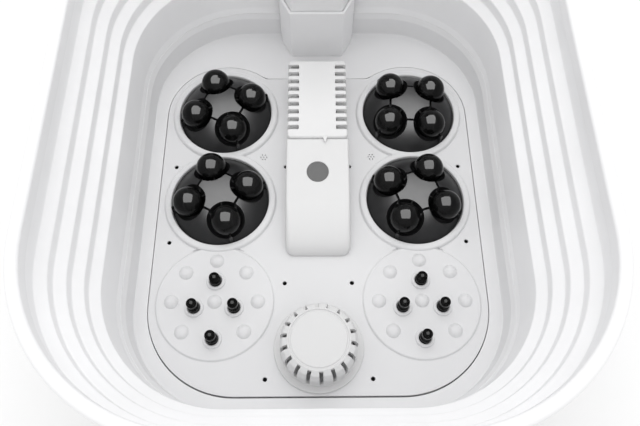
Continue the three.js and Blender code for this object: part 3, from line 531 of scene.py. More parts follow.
def flared_hole(radius, flare, depth, surface, low, high, steps=SMALL_STEPS):
    """A round hole whose edge opens out, from a depth under the surface to just over it."""
    wide, over = radius + flare, surface + 0.1
    return turned([(0, low), (radius, low), (radius, surface - depth), (wide, over), (wide, high), (0, high)], steps)


def lathe(corners, steps=TURN_STEPS, softness=SOFT_STEPS):
    """Turns a profile of (radius, z, rounding) corners round Z."""
    return turned(soften(corners, softness), steps)


def sphere(radius, steps=BALL_STEPS):
    profile = arc(0, 0, radius, -QUARTER, QUARTER, steps // 2)
    return turned([(0, -radius)] + profile[1:-1] + [(0, radius)], steps)


def block(x0, x1, y0, y1, z0, z1):
    return prism([(x0, y0), (x1, y0), (x1, y1), (x0, y1)], z0, z1)


def changed(shape, matrix):
    points, faces = shape
    return [tuple(matrix @ Vector(p)) for p in points], faces


def moved(shape, x=0.0, y=0.0, z=0.0):
    return changed(shape, Matrix.Translation((x, y, z)))


def turned_about(shape, angle, axis="Z"):
    return changed(shape, Matrix.Rotation(angle, 4, axis))


def mirrored(shape):
    points, faces = shape
    return [(-x, y, z) for x, y, z in points], [face[::-1] for face in faces]


def upended(shape):
    """Turns what was drawn on the floor upright, facing along X."""
    return changed(shape, Matrix(((0, 0, 1, 0), (1, 0, 0, 0), (0, 1, 0, 0), (0, 0, 0, 1))))


def together(*shapes):
    points, faces = [], []
    for more_points, more_faces in shapes:
        base = len(points)
        points += more_points
        faces += [tuple(base + i for i in face) for face in more_faces]
    return points, faces


def spread(shape, places):
    return together(*[moved(shape, x, y) for x, y in places])


def on_both_sides(places):
    return [(side * x, y) for x, y in places for side in SIDES]


def tilted(shape):
    """Places what was drawn round the origin in the control head's sloping top."""
    matrix = Matrix.Translation((0, HEAD_MIDDLE_Y, HEAD_MIDDLE_TOP)) @ Matrix.Rotation(HEAD_TILT, 4, "X")
    return changed(shape, matrix)


# Meshes
def placed(name, data):
    made = bpy.data.objects.new(name, data)
    bpy.context.scene.collection.objects.link(made)
    return made


def new_object(name, shape):
    points, faces = shape
    mesh = bpy.data.meshes.new(name)
    mesh.from_pydata([tuple(c * MM for c in p) for p in points], [], faces)
    soft = bmesh.new()
    soft.from_mesh(mesh)
    bmesh.ops.recalc_face_normals(soft, faces=soft.faces)
    soft.to_mesh(mesh)
    soft.free()
    return placed(name, mesh)


def settle(made):
    """Applies the modifiers."""
    graph = bpy.context.evaluated_depsgraph_get()
    mesh = bpy.data.meshes.new_from_object(made.evaluated_get(graph))
    made.modifiers.clear()
    made.data = mesh
    return made


def combine(made, operation, *shapes):
    """Adds shapes to a mesh, or cuts them from it, one after the other."""
    tools = [new_object("tool", shape) for shape in shapes]
    for tool in tools:
        step = made.modifiers.new("step", "BOOLEAN")
        step.operation = operation
        step.solver = "MANIFOLD"
        step.object = tool
    settle(made)
    for tool in tools:
        bpy.data.objects.remove(tool)
    return made


def cut(made, *shapes):
    return combine(made, "DIFFERENCE", *shapes)


def add(made, *shapes):
    return combine(made, "UNION", *shapes)


def bevelled(made, width):
    edge = made.modifiers.new("edge", "BEVEL")
    edge.width = width * MM
    edge.segments = 2
    edge.limit_method = "ANGLE"
    edge.angle_limit = CREASE
    edge.use_clamp_overlap = True
    return settle(made)


def shade(made, material):
    mesh = made.data
    mesh.materials.clear()
    mesh.materials.append(material)
    mesh.polygons.foreach_set("material_index", [0] * len(mesh.polygons))
    mesh.polygons.foreach_set("use_smooth", [True] * len(mesh.polygons))
    mesh.set_sharp_from_angle(angle=CREASE)
    weighted = made.modifiers.new("even shading", "WEIGHTED_NORMAL")
    weighted.keep_sharp = True


def finished(made, slot, body="basin"):
    """Finishes a piece, which rides on body. One that is named NODE_form stands for that node."""
    node = made.name.removesuffix("_form")
    shade(made, FINISHES.get(node, FINISHES[slot]))
    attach(made, body)
    if node != made.name:
        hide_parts(node)
    if slot in ("gloss_black", "ball_black"):
        GLOSSY.append(made)
    return made


# Materials
def linear(level):
    """A 0 to 255 screen level as light."""
    share = level / 255
    return share / 12.92 if share <= 0.04045 else ((share + 0.055) / 1.055) ** 2.4


def surface(name, level, roughness, blotches, smears, grain, tint=(0, 0, 0), **sockets):
    """A material built from nodes: an even shader, changed by noises in the part's own frame.

    A tint adds to the level of red, green and blue. Blotches of colour are (size, share[, stretch]), smears of gloss
    are (size, swing[, stretch]), and each layer of relief in the grain is (size, height). Sizes are in millimetres.
    """
    material = bpy.data.materials.new(name)
    material.use_nodes = True
    tree = material.node_tree
    shader = tree.nodes["Principled BSDF"]
    part_place = tree.nodes.new("ShaderNodeTexCoord").outputs["Object"]

    def node(kind, **inputs):
        made = tree.nodes.new(kind)
        for key, value in inputs.items():
            socket = made.inputs[key.replace("_", " ")]
            if isinstance(value, bpy.types.NodeSocket):
                tree.links.new(value, socket)
            else:
                socket.default_value = value
        return made

    def noise(size, detail, stretch=(1, 1, 1)):
        place = node("ShaderNodeMapping", Vector=part_place, Scale=stretch).outputs["Vector"]
        return node("ShaderNodeTexNoise", Vector=place, Scale=1 / (size * MM), Detail=detail).outputs["Fac"]

    def ranged(value, low, high):
        """The middle of a noise's range, spread from low to high."""
        return node("ShaderNodeMapRange", Value=value, From_Min=0.3, From_Max=0.7, To_Min=low, To_Max=high).outputs[0]

    colour = [linear(level + t) for t in tint]
    size, share, *stretch = blotches
    mix = tree.nodes.new("ShaderNodeMix")
    mix.data_type = "RGBA"
    tree.links.new(ranged(noise(size, 4.0, *stretch), 0, 1), mix.inputs[0])
    mix.inputs[6].default_value = [c * (1 - share) for c in colour] + [1.0]
    mix.inputs[7].default_value = [min(1, c * (1 + share)) for c in colour] + [1.0]
    shader.inputs["Base Color"].default_value = colour + [1.0]
    tree.links.new(mix.outputs[2], shader.inputs["Base Color"])

    size, swing, *stretch = smears
    gloss = ranged(noise(size, 5.0, *stretch), roughness - swing, roughness + swing)
    shader.inputs["Roughness"].default_value = roughness
    tree.links.new(gloss, shader.inputs["Roughness"])

    below = {}
    for size, height in grain:
        bump = node("ShaderNodeBump", Height=noise(size, 2.0), Distance=height * MM, **below)
        below = {"Normal": bump.outputs["Normal"]}
    tree.links.new(below["Normal"], shader.inputs["Normal"])
    for key, value in sockets.items():
        shader.inputs[key.replace("_", " ")].default_value = value
    return material


# Levels and roughnesses that fit the photograph, by slot, or by node where one differs from its slot
COOL = (0, 0, 1)
SATIN = ((60, 0.012), (14, 0.05), [(0.5, 0.006), (9, 0.02)])
COVERS = ((40, 0.010), (12, 0.05), [(0.45, 0.005), (8, 0.02)])
FINISHES = {
    "white_shell": surface("satin white shell", 222, 0.40, *SATIN, COOL),
    # The same satin white as the shell, painted lighter: painted light that makes up for the shade the walls cast on
    # the tub's floor.
    "lower_tub": surface("satin white shell painted lighter for the tub", 228, 0.42, *SATIN, COOL),
    "white_detail": surface("smooth white covers", 221, 0.36, *COVERS),
    # The same white as the covers, painted lighter: painted light that makes up for the shade the rear wall casts on
    # the grille.
    "grille_cover": surface("smooth white covers painted lighter for the grille", 226, 0.36, *COVERS),
    # The same white as the covers, painted darker: painted shade that tones down how bright the cap renders.
    "herb_cap": surface("smooth white covers painted darker for the cap", 216, 0.36, *COVERS),
    "axle_black": surface("dull black axles", 8, 0.5, (3, 0.10), (4, 0.08), [(0.35, 0.003)], Specular_IOR_Level=0.03),
    "grey_wall": surface("soft grey wall", 243, 0.55, (45, 0.02, (1, 1, 0.35)), (10, 0.06),
                         [(0.7, 0.02), (14, 0.12)], COOL),
    "grey_shell": surface("satin grey shell", 236, 0.42, (50, 0.012), (12, 0.05), [(0.5, 0.007), (10, 0.02)], COOL),
    "gloss_black": surface("gloss black domes", 40, 0.34, (9, 0.06), (7, 0.03), [(1.2, 0.002), (6, 0.006)], COOL,
                           Specular_IOR_Level=0.205),
    "ball_black": surface("polished black balls", 10, 0.08, (6, 0.08), (5, 0.02), [(0.9, 0.0006), (4, 0.002)],
                          Specular_IOR_Level=0.165),
    "rubber_black": surface("black rubber", 8, 0.2, (3, 0.10), (4, 0.08), [(0.35, 0.003), (2.5, 0.006)],
                            Specular_IOR_Level=0.08),
    "lens_grey": surface("smoked lens", 106, 0.3, (5, 0.015), (4, 0.02), [(0.5, 0.003)]),
    "gear_white": surface("gear plastic", 218, 0.5, (8, 0.03), (5, 0.08), [(0.6, 0.01)], (0, 0, -6)),
    "motor_steel": surface("plated steel", 170, 0.34, (7, 0.05), (5, 0.10, (1, 1, 8)), [(0.5, 0.004)], (0, 0, 3),
                           Metallic=1.0),
    "board_green": surface("circuit board", 90, 0.45, (6, 0.08), (4, 0.08), [(0.8, 0.02)], (-50, 15, -28)),
    "heater_aluminium": surface("heater aluminium", 190, 0.38, (6, 0.05), (5, 0.10, (1, 8, 1)), [(0.5, 0.006)],
                                (0, 0, 3), Metallic=1.0),
    "panel_black": surface("panel glass", 20, 0.09, (10, 0.05), (9, 0.03), [(7, 0.004)], (0, 0, 2)),
}

# Pieces that mirror the sheen softbox
GLOSSY = []


# Camera and stage
FOCAL_PIXELS = 641.435
PHOTO_WIDTH = 640
SENSOR = 36.0
CAMERA_PLACE = (-2.978, -246.42, 573.698)
CAMERA_PITCH = radians(65.135)
CAMERA_YAW = radians(1.193)
CAMERA_ROLL = radians(0.812)


def make_camera():
    data = bpy.data.cameras.new("camera")
    data.sensor_width = SENSOR
    data.lens = FOCAL_PIXELS * SENSOR / PHOTO_WIDTH
    data.clip_start = 10 * MM
    camera = placed("camera", data)
    level = cos(CAMERA_PITCH)
    ahead = Vector((sin(CAMERA_YAW) * level, cos(CAMERA_YAW) * level, -sin(CAMERA_PITCH)))
    right = Vector((cos(CAMERA_YAW), -sin(CAMERA_YAW), 0))
    above = right.cross(ahead)
    turn, lean = cos(CAMERA_ROLL), sin(CAMERA_ROLL)
    right, above = right * turn + above * lean, above * turn - right * lean
    facing = Matrix((right, above, -ahead)).transposed().to_4x4()
    camera.matrix_world = Matrix.Translation([c * MM for c in CAMERA_PLACE]) @ facing
    bpy.context.scene.camera = camera


# Light, with places and sizes in metres
WORLD_LEVEL = 1.0
KEY_PLACE = (0.0, 0.5, 1.7)
KEY_SIZE = 1.0
KEY_WATTS = 8.0
SHEEN_PLACE = (0.0, 0.125, 1.75)
SHEEN_SIZE = 2.35
SHEEN_WATTS = 243.0
AIM = (0.0, 0.02, 0.08)


def make_world():
    """Even white, for the light from all sides and for what the camera and reflections see."""
    world = bpy.data.worlds.new("studio")
    bpy.context.scene.world = world
    world.use_nodes = True
    light = world.node_tree.nodes["Background"]
    light.inputs["Color"].default_value = (1, 1, 1, 1)
    light.inputs["Strength"].default_value = WORLD_LEVEL


def softbox(name, place, size, watts):
    data = bpy.data.lights.new(name, "AREA")
    data.size = size
    data.energy = watts
    lamp = placed(name, data)
    lamp.location = place
    lamp.rotation_euler = (Vector(AIM) - Vector(place)).to_track_quat("-Z", "Y").to_euler()
    return lamp


def light_gloss():
    """The black gloss pieces mirror a softbox of their own, and the other pieces get the key light."""
    key = softbox("key softbox", KEY_PLACE, KEY_SIZE, KEY_WATTS)
    sheen = softbox("sheen softbox", SHEEN_PLACE, SHEEN_SIZE, SHEEN_WATTS)
    key.visible_glossy = False
    sheen.visible_diffuse = False
    for lamp, state in ((key, "EXCLUDE"), (sheen, "INCLUDE")):
        group = bpy.data.collections.new(lamp.name)
        for piece in GLOSSY:
            group.objects.link(piece)
        lamp.light_linking.receiver_collection = group
        if state == "INCLUDE":
            lamp.light_linking.blocker_collection = group
        for linked in group.collection_objects:
            linked.light_linking.link_state = state


# The stage's floor, in metres
FLOOR_HALF = 30.0
FLOOR_DROP = 0.0003
FLOOR_COLOUR = (0.86, 0.86, 0.86, 1)
FLOOR_ROUGHNESS = 0.7


def make_floor():
    mesh = bpy.data.meshes.new("studio_floor")
    corners = [(x * FLOOR_HALF, y * FLOOR_HALF, -FLOOR_DROP) for x, y in ((-1, -1), (1, -1), (1, 1), (-1, 1))]
    mesh.from_pydata(corners, [], [(0, 1, 2, 3)])
    floor = placed("studio_floor", mesh)
    material = bpy.data.materials.new("pale floor")
    material.use_nodes = True
    shader = material.node_tree.nodes["Principled BSDF"]
    shader.inputs["Base Color"].default_value = FLOOR_COLOUR
    shader.inputs["Roughness"].default_value = FLOOR_ROUGHNESS
    mesh.materials.append(material)


# Base pan, feet and gland
def base_pan():
    floor_top = PAN_UNDERSIDE + PAN_FLOOR
    side_low = PAN_UNDERSIDE + PAN_SIDE_HEIGHT
    lip_top = PAN_SHOULDER + PAN_LIP
    lip_outer = PAN_SIDE - PAN_WALL - SEAT_GAP
    lip_inner = lip_outer - PAN_WALL
    path = soften([
        (PAN_MIDDLE, PAN_UNDERSIDE, 0), (PAN_FOOT, PAN_UNDERSIDE, 2.5), (PAN_TURN, PAN_UNDERSIDE + PAN_TURN_RISE, 6),
        (PAN_SIDE, side_low, 8), (PAN_SIDE, PAN_SHOULDER, 0.7), (lip_outer, PAN_SHOULDER, 0.4),
        (lip_outer, lip_top, 0.6), (lip_inner, lip_top, 0.6), (lip_inner, side_low, 3),
        (PAN_FOOT, floor_top, 1.5), (PAN_MIDDLE, floor_top, 0),
    ])
    made = new_object("base_pan_form", loft([at(basin(offset), z) for offset, z in path]))
    below = PAN_UNDERSIDE - OVERRUN
    socket = cylinder(FOOT_RADIUS + SEAT_GAP, below, PAN_UNDERSIDE + FOOT_SOCKET, TURN_STEPS)
    vent = prism(rounded_rectangle(VENT_HALF_WIDTH, VENT_HALF_LENGTH, 1.9, SOFT_STEPS, 1), below, floor_top + OVERRUN)
    vent_places = [((i - (VENTS - 1) / 2) * VENT_PITCH, VENT_Y) for i in range(VENTS)]
    hole = turned_about(cylinder(GLAND_SLEEVE + SEAT_GAP, -PAN_SIDE, PAN_SIDE), QUARTER, "X")
    hole = moved(hole, GLAND_X, FLOOR_HALF_Y + PAN_SIDE - PAN_WALL, GLAND_Z)
    cut(made, spread(socket, FOOT_PLACES.values()), spread(vent, vent_places), hole)
    finished(made, "white_shell")


def feet():
    """Rubber feet with two round grooves in the sole."""
    groove = FOOT_GROOVE
    foot = lathe([
        (0, 0, 0), (4, 0, 0), (4, groove, 0.2), (5.2, groove, 0.2), (5.2, 0, 0.2), (8, 0, 0.2), (8, groove, 0.2),
        (9.2, groove, 0.2), (9.2, 0, 0.2), (FOOT_RADIUS, 0, 1.0), (FOOT_RADIUS, FOOT_TOP, 0.3), (0, FOOT_TOP, 0),
    ])
    for node, (x, y) in FOOT_PLACES.items():
        finished(new_object(node + "_form", moved(foot, x, y)), "rubber_black")


def cord_gland():
    gland = lathe([
        (GLAND_BORE, -GLAND_TAIL, 0.3), (GLAND_SLEEVE, -GLAND_TAIL, 0.5), (GLAND_SLEEVE, -GLAND_FLANGE_THICK, 0.3),
        (GLAND_FLANGE, -GLAND_FLANGE_THICK, 0.4), (GLAND_FLANGE, -0.9, 0.9), (6.4, 0, 0.8), (GLAND_BORE, 0, 0.7),
    ])
    y = FLOOR_HALF_Y + PAN_SIDE + SEAT_GAP + GLAND_FLANGE_THICK
    shape = moved(turned_about(gland, -QUARTER, "X"), GLAND_X, y, GLAND_Z)
    finished(new_object("cord_gland_form", shape), "rubber_black")


# Lower tub: walls round the basin, and a floor that meets the plate's outline
def lower_tub():
    groove_floor = RIDGE_TOP - GROOVE_DEPTH
    inner_ridge = RIDGE_OFFSET + RIDGE_WIDTH
    roof = groove_floor - TUB_WALL
    lip_outer = LIP_OFFSET + LIP_WIDTH
    skirt = PAN_SHOULDER + SEAT_GAP
    skirt_inner = PAN_SIDE - TUB_WALL
    underside = PLATE_TOP - TUB_FLOOR
    path = soften([
        (FLOOR_MARGIN, PLATE_TOP, 0), (0, PLATE_TOP, FLOOR_FILLET), (RIDGE_OFFSET, RIDGE_TOP - RIDGE_SLOPE, 3.0),
        (inner_ridge - 0.6, RIDGE_TOP, 0.6), (inner_ridge, RIDGE_TOP, 0.4), (inner_ridge, groove_floor, 0.6),
        (LIP_OFFSET, groove_floor, 0.6), (LIP_OFFSET, LIP_TOP, 1.1), (lip_outer, LIP_TOP, 1.3),
        (lip_outer, groove_floor, 1.5), (PAN_SIDE, roof, 1.5), (PAN_SIDE, skirt, 0.7), (skirt_inner, skirt, 0.5),
        (skirt_inner, roof, 0.8), (RIDGE_OFFSET + TUB_WALL, roof, 0.8), (TUB_WALL, underside, 0),
    ])
    rays = basin(0)
    inside = plate_like_basin(-PLATE_LEDGE, rays)
    seam = [(x, y - SEAT_SHIFT - SEAT_STRETCH * max(0.0, SEAT_STRETCH_Y - y))
            for x, y in plate_like_basin(PLATE_SEAM, rays)]
    well = plate_like_basin(PLATE_SEAM + TUB_WALL, rays)
    moat = plate_like_basin(SEAM_MOAT_REACH, rays)
    moat_floor = PLATE_REST - SEAM_MOAT
    rings = [at(inside, WELL_FLOOR_TOP), at(inside, PLATE_REST), at(moat, PLATE_REST), at(moat, moat_floor),
             at(seam, moat_floor), at(seam, PLATE_TOP)]
    rings += [at(basin(offset), z) for offset, z in path]
    rings += [at(well, underside), at(well, WELL_UNDERSIDE)]
    made = new_object("lower_tub_form", loft(rings))
    cut(made, prism(pillar_outline(PILLAR_WALL), underside - OVERRUN, PLATE_TOP + OVERRUN))
    finished(made, "white_shell")


# Foot plate
def raised_edge(radius, top, flare, foot_radius, top_radius):
    """Corners of a step on the plate, with a hollow foot and a round upper edge."""
    foot = radius + flare
    return [(foot, PLATE_MIDDLE, 0), (foot, PLATE_TOP + 0.01, 0), (radius, PLATE_TOP + 0.05, foot_radius),
            (radius - STEP_DRAFT, top, top_radius), (0, top, 0)]


def disc_surround():
    well = DISC_RADIUS + TURN_GAP + WELL_WALL
    low = DISC_WELL_TOP - PLATE_THICK
    edge = raised_edge(RING_OUTER, PLATE_TOP + RING_HEIGHT, RING_FLARE, 1.6, 2.2)
    return lathe([(0, low, 0), (well, low, 0), (well, PLATE_MIDDLE, 0)] + edge, 2 * TURN_STEPS, 6)


def disc_well():
    radius = DISC_RADIUS + TURN_GAP
    top = PLATE_TOP + RING_HEIGHT
    edge, edge_low = WELL_EDGE, top - WELL_EDGE
    profile = [(0, DISC_WELL_TOP), (radius, DISC_WELL_TOP), (radius, edge_low)]
    profile += [(radius + edge - edge * cos(a), edge_low + edge * sin(a)) for a in np.linspace(0.3, 1.57, 5)]
    profile += [(radius + 1.5, top + 3), (0, top + 3)]
    return turned(profile, 2 * TURN_STEPS)


def ball_cap(radius, height, z, steps=9):
    """The line of a ball's cap, from its foot at z to its top."""
    ball = (radius ** 2 + height ** 2) / (2 * height)
    middle = z + height - ball
    foot = asin(radius / ball)
    line = [(ball * sin(a), middle + ball * cos(a)) for a in np.linspace(foot, 0, steps + 1)]
    return line[:-1] + [(0, z + height)]


def foot_plate():
    made = new_object("foot_plate_form", edged_prism(plate_outline, PLATE_UNDERSIDE, PLATE_TOP, PLATE_EDGE))
    discs = [(x, y) for x, y, _ in DISCS.values()]
    pads = on_both_sides([(PAD_X, PAD_Y)])
    pin_places = [(px + x, py + y) for px, py in pads for x, y, _ in PINS]
    pad_top = PLATE_TOP + PAD_HEIGHT
    pad = lathe([(0, PLATE_MIDDLE, 0)] + raised_edge(PAD_RADIUS, pad_top, PAD_FLARE, 1.2, 1.6), 2 * TURN_STEPS)
    bump = turned([(0, PLATE_MIDDLE), (BUMP_RADIUS, PLATE_MIDDLE)] + ball_cap(BUMP_RADIUS, BUMP_HEIGHT, pad_top),
                  2 * SMALL_STEPS)
    bump_ring = on_circle(BUMP_RING, [i * pi / 4 for i in BUMP_EIGHTHS]) + [(0, 0)]
    collar_top = PLATE_TOP + COLLAR_HEIGHT
    collar = lathe([(0, PLATE_MIDDLE, 0), (COLLAR_RADIUS, PLATE_MIDDLE, 0), (COLLAR_RADIUS, collar_top, 1.4),
                    (0, collar_top, 0)], SMALL_STEPS)
    surround = disc_surround()
    add(made, *[moved(surround, x, y) for x, y in discs], *[moved(pad, x, y) for x, y in pads],
        spread(bump, [(px + x, py + y) for px, py in pads for x, y in bump_ring]), spread(collar, pin_places))

    low, high = DISC_WELL_TOP - 2 * PLATE_THICK, PLATE_TOP + PIN_STAGE
    half_length, half_width = POCKET_HALF_LENGTH, POCKET_HALF_WIDTH
    pocket = block(-half_length, half_length, -half_width, half_width, PLATE_TOP - POCKET_DEPTH, pad_top + OVERRUN)
    pockets = [moved(turned_about(pocket, -end * POCKET_TURN), x + end * POCKET_X, POCKET_Y)
               for x, _ in pads for end in SIDES]
    pin_hole = flared_hole(PIN_HOLE, 0.7, 0.7, collar_top, low, high)
    screw_hole = flared_hole(SCREW_RADIUS, SCREW_FLARE, SCREW_FLARE, PLATE_TOP, low, high)
    bubble_ring = [(0, 0)] + on_circle(BUBBLE_RING, np.arange(BUBBLES) * 2 * pi / BUBBLES)
    bubbles = [(side * BUBBLE_X + x, BUBBLE_Y + y) for x, y in bubble_ring for side in SIDES]
    cap_hole = moved(cylinder(CUP_RADIUS + SEAT_GAP, low, high, TURN_STEPS), 0, CAP_Y)
    cut(made, together(*pockets), spread(disc_well(), discs), spread(cylinder(HUB_RADIUS + TURN_GAP, low, high), discs),
        spread(pin_hole, pin_places), spread(screw_hole, on_both_sides(SCREW_PLACES)),
        spread(cylinder(BUBBLE_HOLE, low, high, HOLE_STEPS), bubbles), cap_hole)
    finished(made, "white_shell")


def plate_screws():
    """Sunk heads with a cross."""
    low, top = -SCREW_LENGTH, -SCREW_RECESS
    head = lathe([(0, low, 0), (SCREW_HEAD, low, 0), (SCREW_HEAD, top, 0.4), (0, top, 0)], SMALL_STEPS)
    places = [(x, y, PLATE_TOP) for x, y in on_both_sides(SCREW_PLACES)]
    made = new_object("plate_screws", together(*[moved(head, *place) for place in places]))
    for x, y in (SCREW_CROSS, SCREW_CROSS[::-1]):
        slot = block(-x, x, -y, y, -SCREW_CROSS_DEPTH, 0)
        cut(made, together(*[moved(slot, *place) for place in places]))
    finished(made, "rubber_black")


# Rubber pins
def pin_inserts():
    top = PLATE_UNDERSIDE - SEAT_GAP
    low = top - WEB_THICK
    stage = PLATE_TOP + PIN_STAGE
    half = WEB_ARM / 2
    ys = [y for _, y, _ in PINS]
    arm_x, arm_y, _ = PINS[-1]
    web = block(-half, half, min(ys), max(ys), low, top)
    arm = block(-arm_x, arm_x, arm_y - half, arm_y + half, low, top)
    pins = [(x, y, lathe([
        (0, low, 0), (PIN_RADIUS, low, 0), (PIN_RADIUS, stage - PIN_STEP, 1.5), (PIN_NECK, stage, 1.0),
        (PIN_TIP_RADIUS, stage + PIN_STEP, 1.0), (PIN_TIP_RADIUS, stage + tip - PIN_CROWN, 1.4),
        (PIN_TIP_RADIUS * 0.3, stage + tip, 2.0), (0, stage + tip, 0),
    ], SMALL_STEPS)) for x, y, tip in PINS]
    for name, pad_x in (("left", -PAD_X), ("right", PAD_X)):
        made = new_object(f"pin_insert_{name}_form", moved(web, pad_x, PAD_Y))
        add(made, moved(arm, pad_x, PAD_Y), together(*[moved(pin, pad_x + x, PAD_Y + y) for x, y, pin in pins]))
        GLOSSY.append(finished(made, "rubber_black"))


# Roller discs, in the disc's own frame with the plate top at zero
def on_axle(shape, i):
    matrix = (Matrix.Rotation(i * 2 * pi / BALLS, 4, "Z") @ Matrix.Translation((BALL_RING, 0, BALL_HEIGHT))
              @ Matrix.Rotation(AXLE_TILT, 4, "Y"))
    return changed(shape, matrix)


def on_axles(shape):
    return together(*[on_axle(shape, i) for i in range(BALLS)])


def star_prism(half, low):
    return prism(on_circle(half * sqrt(2), np.arange(4) * pi / 2), low, DOME_HEIGHT + OVERRUN)


def disc_forms():
    sockets = on_axles(turned_about(sphere(SOCKET_RADIUS), QUARTER, "Y"))
    bore = cylinder(AXLE_BORE, -AXLE_INNER - SEAT_GAP, AXLE_OUTER + SEAT_GAP, HOLE_STEPS)
    bores = on_axles(turned_about(bore, QUARTER, "Y"))
    low = TURN_GAP - WELL_DEPTH
    dome = new_object("dome", turned([(0, low), (DISC_RADIUS, low)] + ball_cap(
        DISC_RADIUS, DOME_HEIGHT - DISC_SKIRT, DISC_SKIRT, 18), 2 * TURN_STEPS))
    add(dome, cylinder(HUB_RADIUS, HUB_LOW, 0))
    cut(dome, sockets, star_prism(STAR_HALF + STAR_SEAM / 2, STAR_FLOOR))

    outer = DISC_RADIUS - SEAT_GAP
    top = BALL_HEIGHT - (outer - EAR_THICK - BALL_RING) * tan(AXLE_TILT) + EAR_ABOVE
    upright = rounded_rectangle(EAR_WIDTH / 2, top / 2, EAR_WIDTH * 0.49, 6, 2)
    ear = moved(upended(prism(upright, outer - EAR_THICK, outer)), z=top / 2)
    posts = new_object("posts", together(*[turned_about(ear, i * 2 * pi / BALLS) for i in range(BALLS)]))
    cut(posts, bores)
    cut(dome, bores)
    seam = block(-STAR_HALF, STAR_HALF, STAR_HALF - STAR_SEAM / 2, STAR_HALF + STAR_SEAM / 2, SEAM_DEPTH, DOME_HEIGHT)
    cut(dome, *[turned_about(seam, (i + 0.5) * pi / 2) for i in range(BALLS)])

    foot = STAR_FLOOR + SEAT_GAP
    reach = STAR_HALF * sqrt(2)
    curve = ball_cap(STAR_HALF, STAR_RISE - STAR_EDGE, STAR_EDGE)
    star = new_object("star", turned([(0, foot), (reach, foot), (reach, STAR_CORNER)] + curve))
    combine(star, "INTERSECT", star_prism(STAR_HALF - STAR_SEAM / 2, 0))
    cut(star, sockets, bores)
    return {"dome": bevelled(dome, 0.35), "star": bevelled(star, 0.3), "posts": posts}


def ball_shape():
    neck = asin(AXLE_RADIUS / BALL_RADIUS)
    profile = [(0, -AXLE_INNER), (AXLE_RADIUS, -AXLE_INNER)]
    profile += [(BALL_RADIUS * sin(a), -BALL_RADIUS * cos(a))
                for a in np.linspace(neck, pi - neck, BALL_STEPS // 2)]
    profile += [(AXLE_RADIUS, AXLE_OUTER), (0, AXLE_OUTER)]
    return turned_about(turned(profile, BALL_STEPS), QUARTER, "Y")


def dull_axle(ball):
    """Gives the ends of a ball's axle a duller black than the ball."""
    ball.data.materials.append(FINISHES["axle_black"])
    middle = sum((v.co for v in ball.data.vertices), Vector()) / len(ball.data.vertices)
    for face in ball.data.polygons:
        if (face.center - middle).length > (BALL_RADIUS + AXLE_RADIUS / 2) * MM:
            face.material_index = 1


def copied(model, name, matrix):
    mesh = model.data.copy()
    mesh.transform(matrix)
    return placed(name, mesh)


def roller_discs():
    forms = disc_forms()
    ball = ball_shape()
    for name, (x, y, degrees) in DISCS.items():
        turn = Matrix.Rotation(radians(degrees), 4, "Z")
        place = Matrix.Translation((x, y, PLATE_TOP)) @ turn
        mesh_place = Matrix.Translation((x * MM, y * MM, PLATE_TOP * MM)) @ turn
        for kind in ("dome", "star"):
            made = copied(forms[kind], f"{kind}_{name}_form", mesh_place)
            finished(made, "gloss_black", f"disc_{name}")
        finished(copied(forms["posts"], f"axle_posts_{name}", mesh_place), "gloss_black", f"disc_{name}")
        for i in range(BALLS):
            node = f"ball_{name}_{i + 1}"
            dull_axle(finished(new_object(node + "_form", changed(on_axle(ball, i), place)), "ball_black", node))
    for model in forms.values():
        bpy.data.objects.remove(model)


# Herb cup and cap
def herb_cup():
    floor = PLATE_TOP - CUP_DEPTH
    floor_top = floor + CUP_WALL
    lip = PLATE_TOP + SEAT_GAP
    top = lip + CUP_FLANGE_HEIGHT
    inside = CUP_RADIUS - CUP_WALL
    cup = lathe([
        (0, floor, 0), (CUP_RADIUS, floor, 2.5), (CUP_RADIUS, lip, 0.2), (CUP_FLANGE, lip, 0.3),
        (CUP_FLANGE, top, 0.7), (inside, top, 0.7), (inside, floor_top, 2.0), (0, floor_top, 0),
    ])
    finished(new_object("herb_cup_form", moved(cup, 0, CAP_Y)), "grey_shell")


def herb_cap():
    low = PLATE_TOP + SEAT_GAP
    flange_top = low + CAP_FLANGE_HEIGHT
    shoulder = PLATE_TOP + CAP_SHOULDER
    top = PLATE_TOP + CAP_HEIGHT
    roof = top - CAP_WALL
    middle, groove = top - CAP_DIP, top - CAP_GROOVE
    inner = CAP_RADIUS - CAP_WALL
    edge = CAP_TOP_RADIUS
    made = new_object("herb_cap_form", lathe([
        (0, middle, 0), (edge - 2.0, middle, 0.5), (edge - 1.4, groove, 0.4), (edge - 0.6, groove, 0.4),
        (edge - 0.1, top, 0.3), (edge + 0.6, top, 1.2), (CAP_SHOULDER_RADIUS, top - 2.6, 3.0),
        (CAP_RADIUS, shoulder, 6.0), (CAP_RADIUS, flange_top, 1.2), (CAP_FLANGE, flange_top, 1.3),
        (CAP_FLANGE, low, 0.4), (inner, low, 0.4), (inner, shoulder, 4.0), (edge - CAP_WALL, roof, 1.0), (0, roof, 0),
    ], 8 * CAP_SLOTS, 6))
    slot_low, slot_high = PLATE_TOP + CAP_SLOT_LOW, top + 2 * OVERRUN
    half = CAP_SLOT_WIDTH / 2
    upright = rounded_rectangle(half, (slot_high - slot_low) / 2, half * 0.98, 6, 1)
    slot = moved(upended(prism(upright, CAP_SLOT_START, CAP_RADIUS + 3)), z=(slot_low + slot_high) / 2)
    turns = [2 * pi * (i + 0.5) / CAP_SLOTS - QUARTER for i in range(CAP_SLOTS)]
    cut(made, together(*[turned_about(slot, a) for a in turns]))
    turn = Matrix.Rotation(CAP_PHASE - pi / CAP_SLOTS, 4, "Z")
    made.data.transform(Matrix.Translation((0, CAP_Y * MM, 0)) @ turn)
    finished(made, "white_detail", "herb_cap")


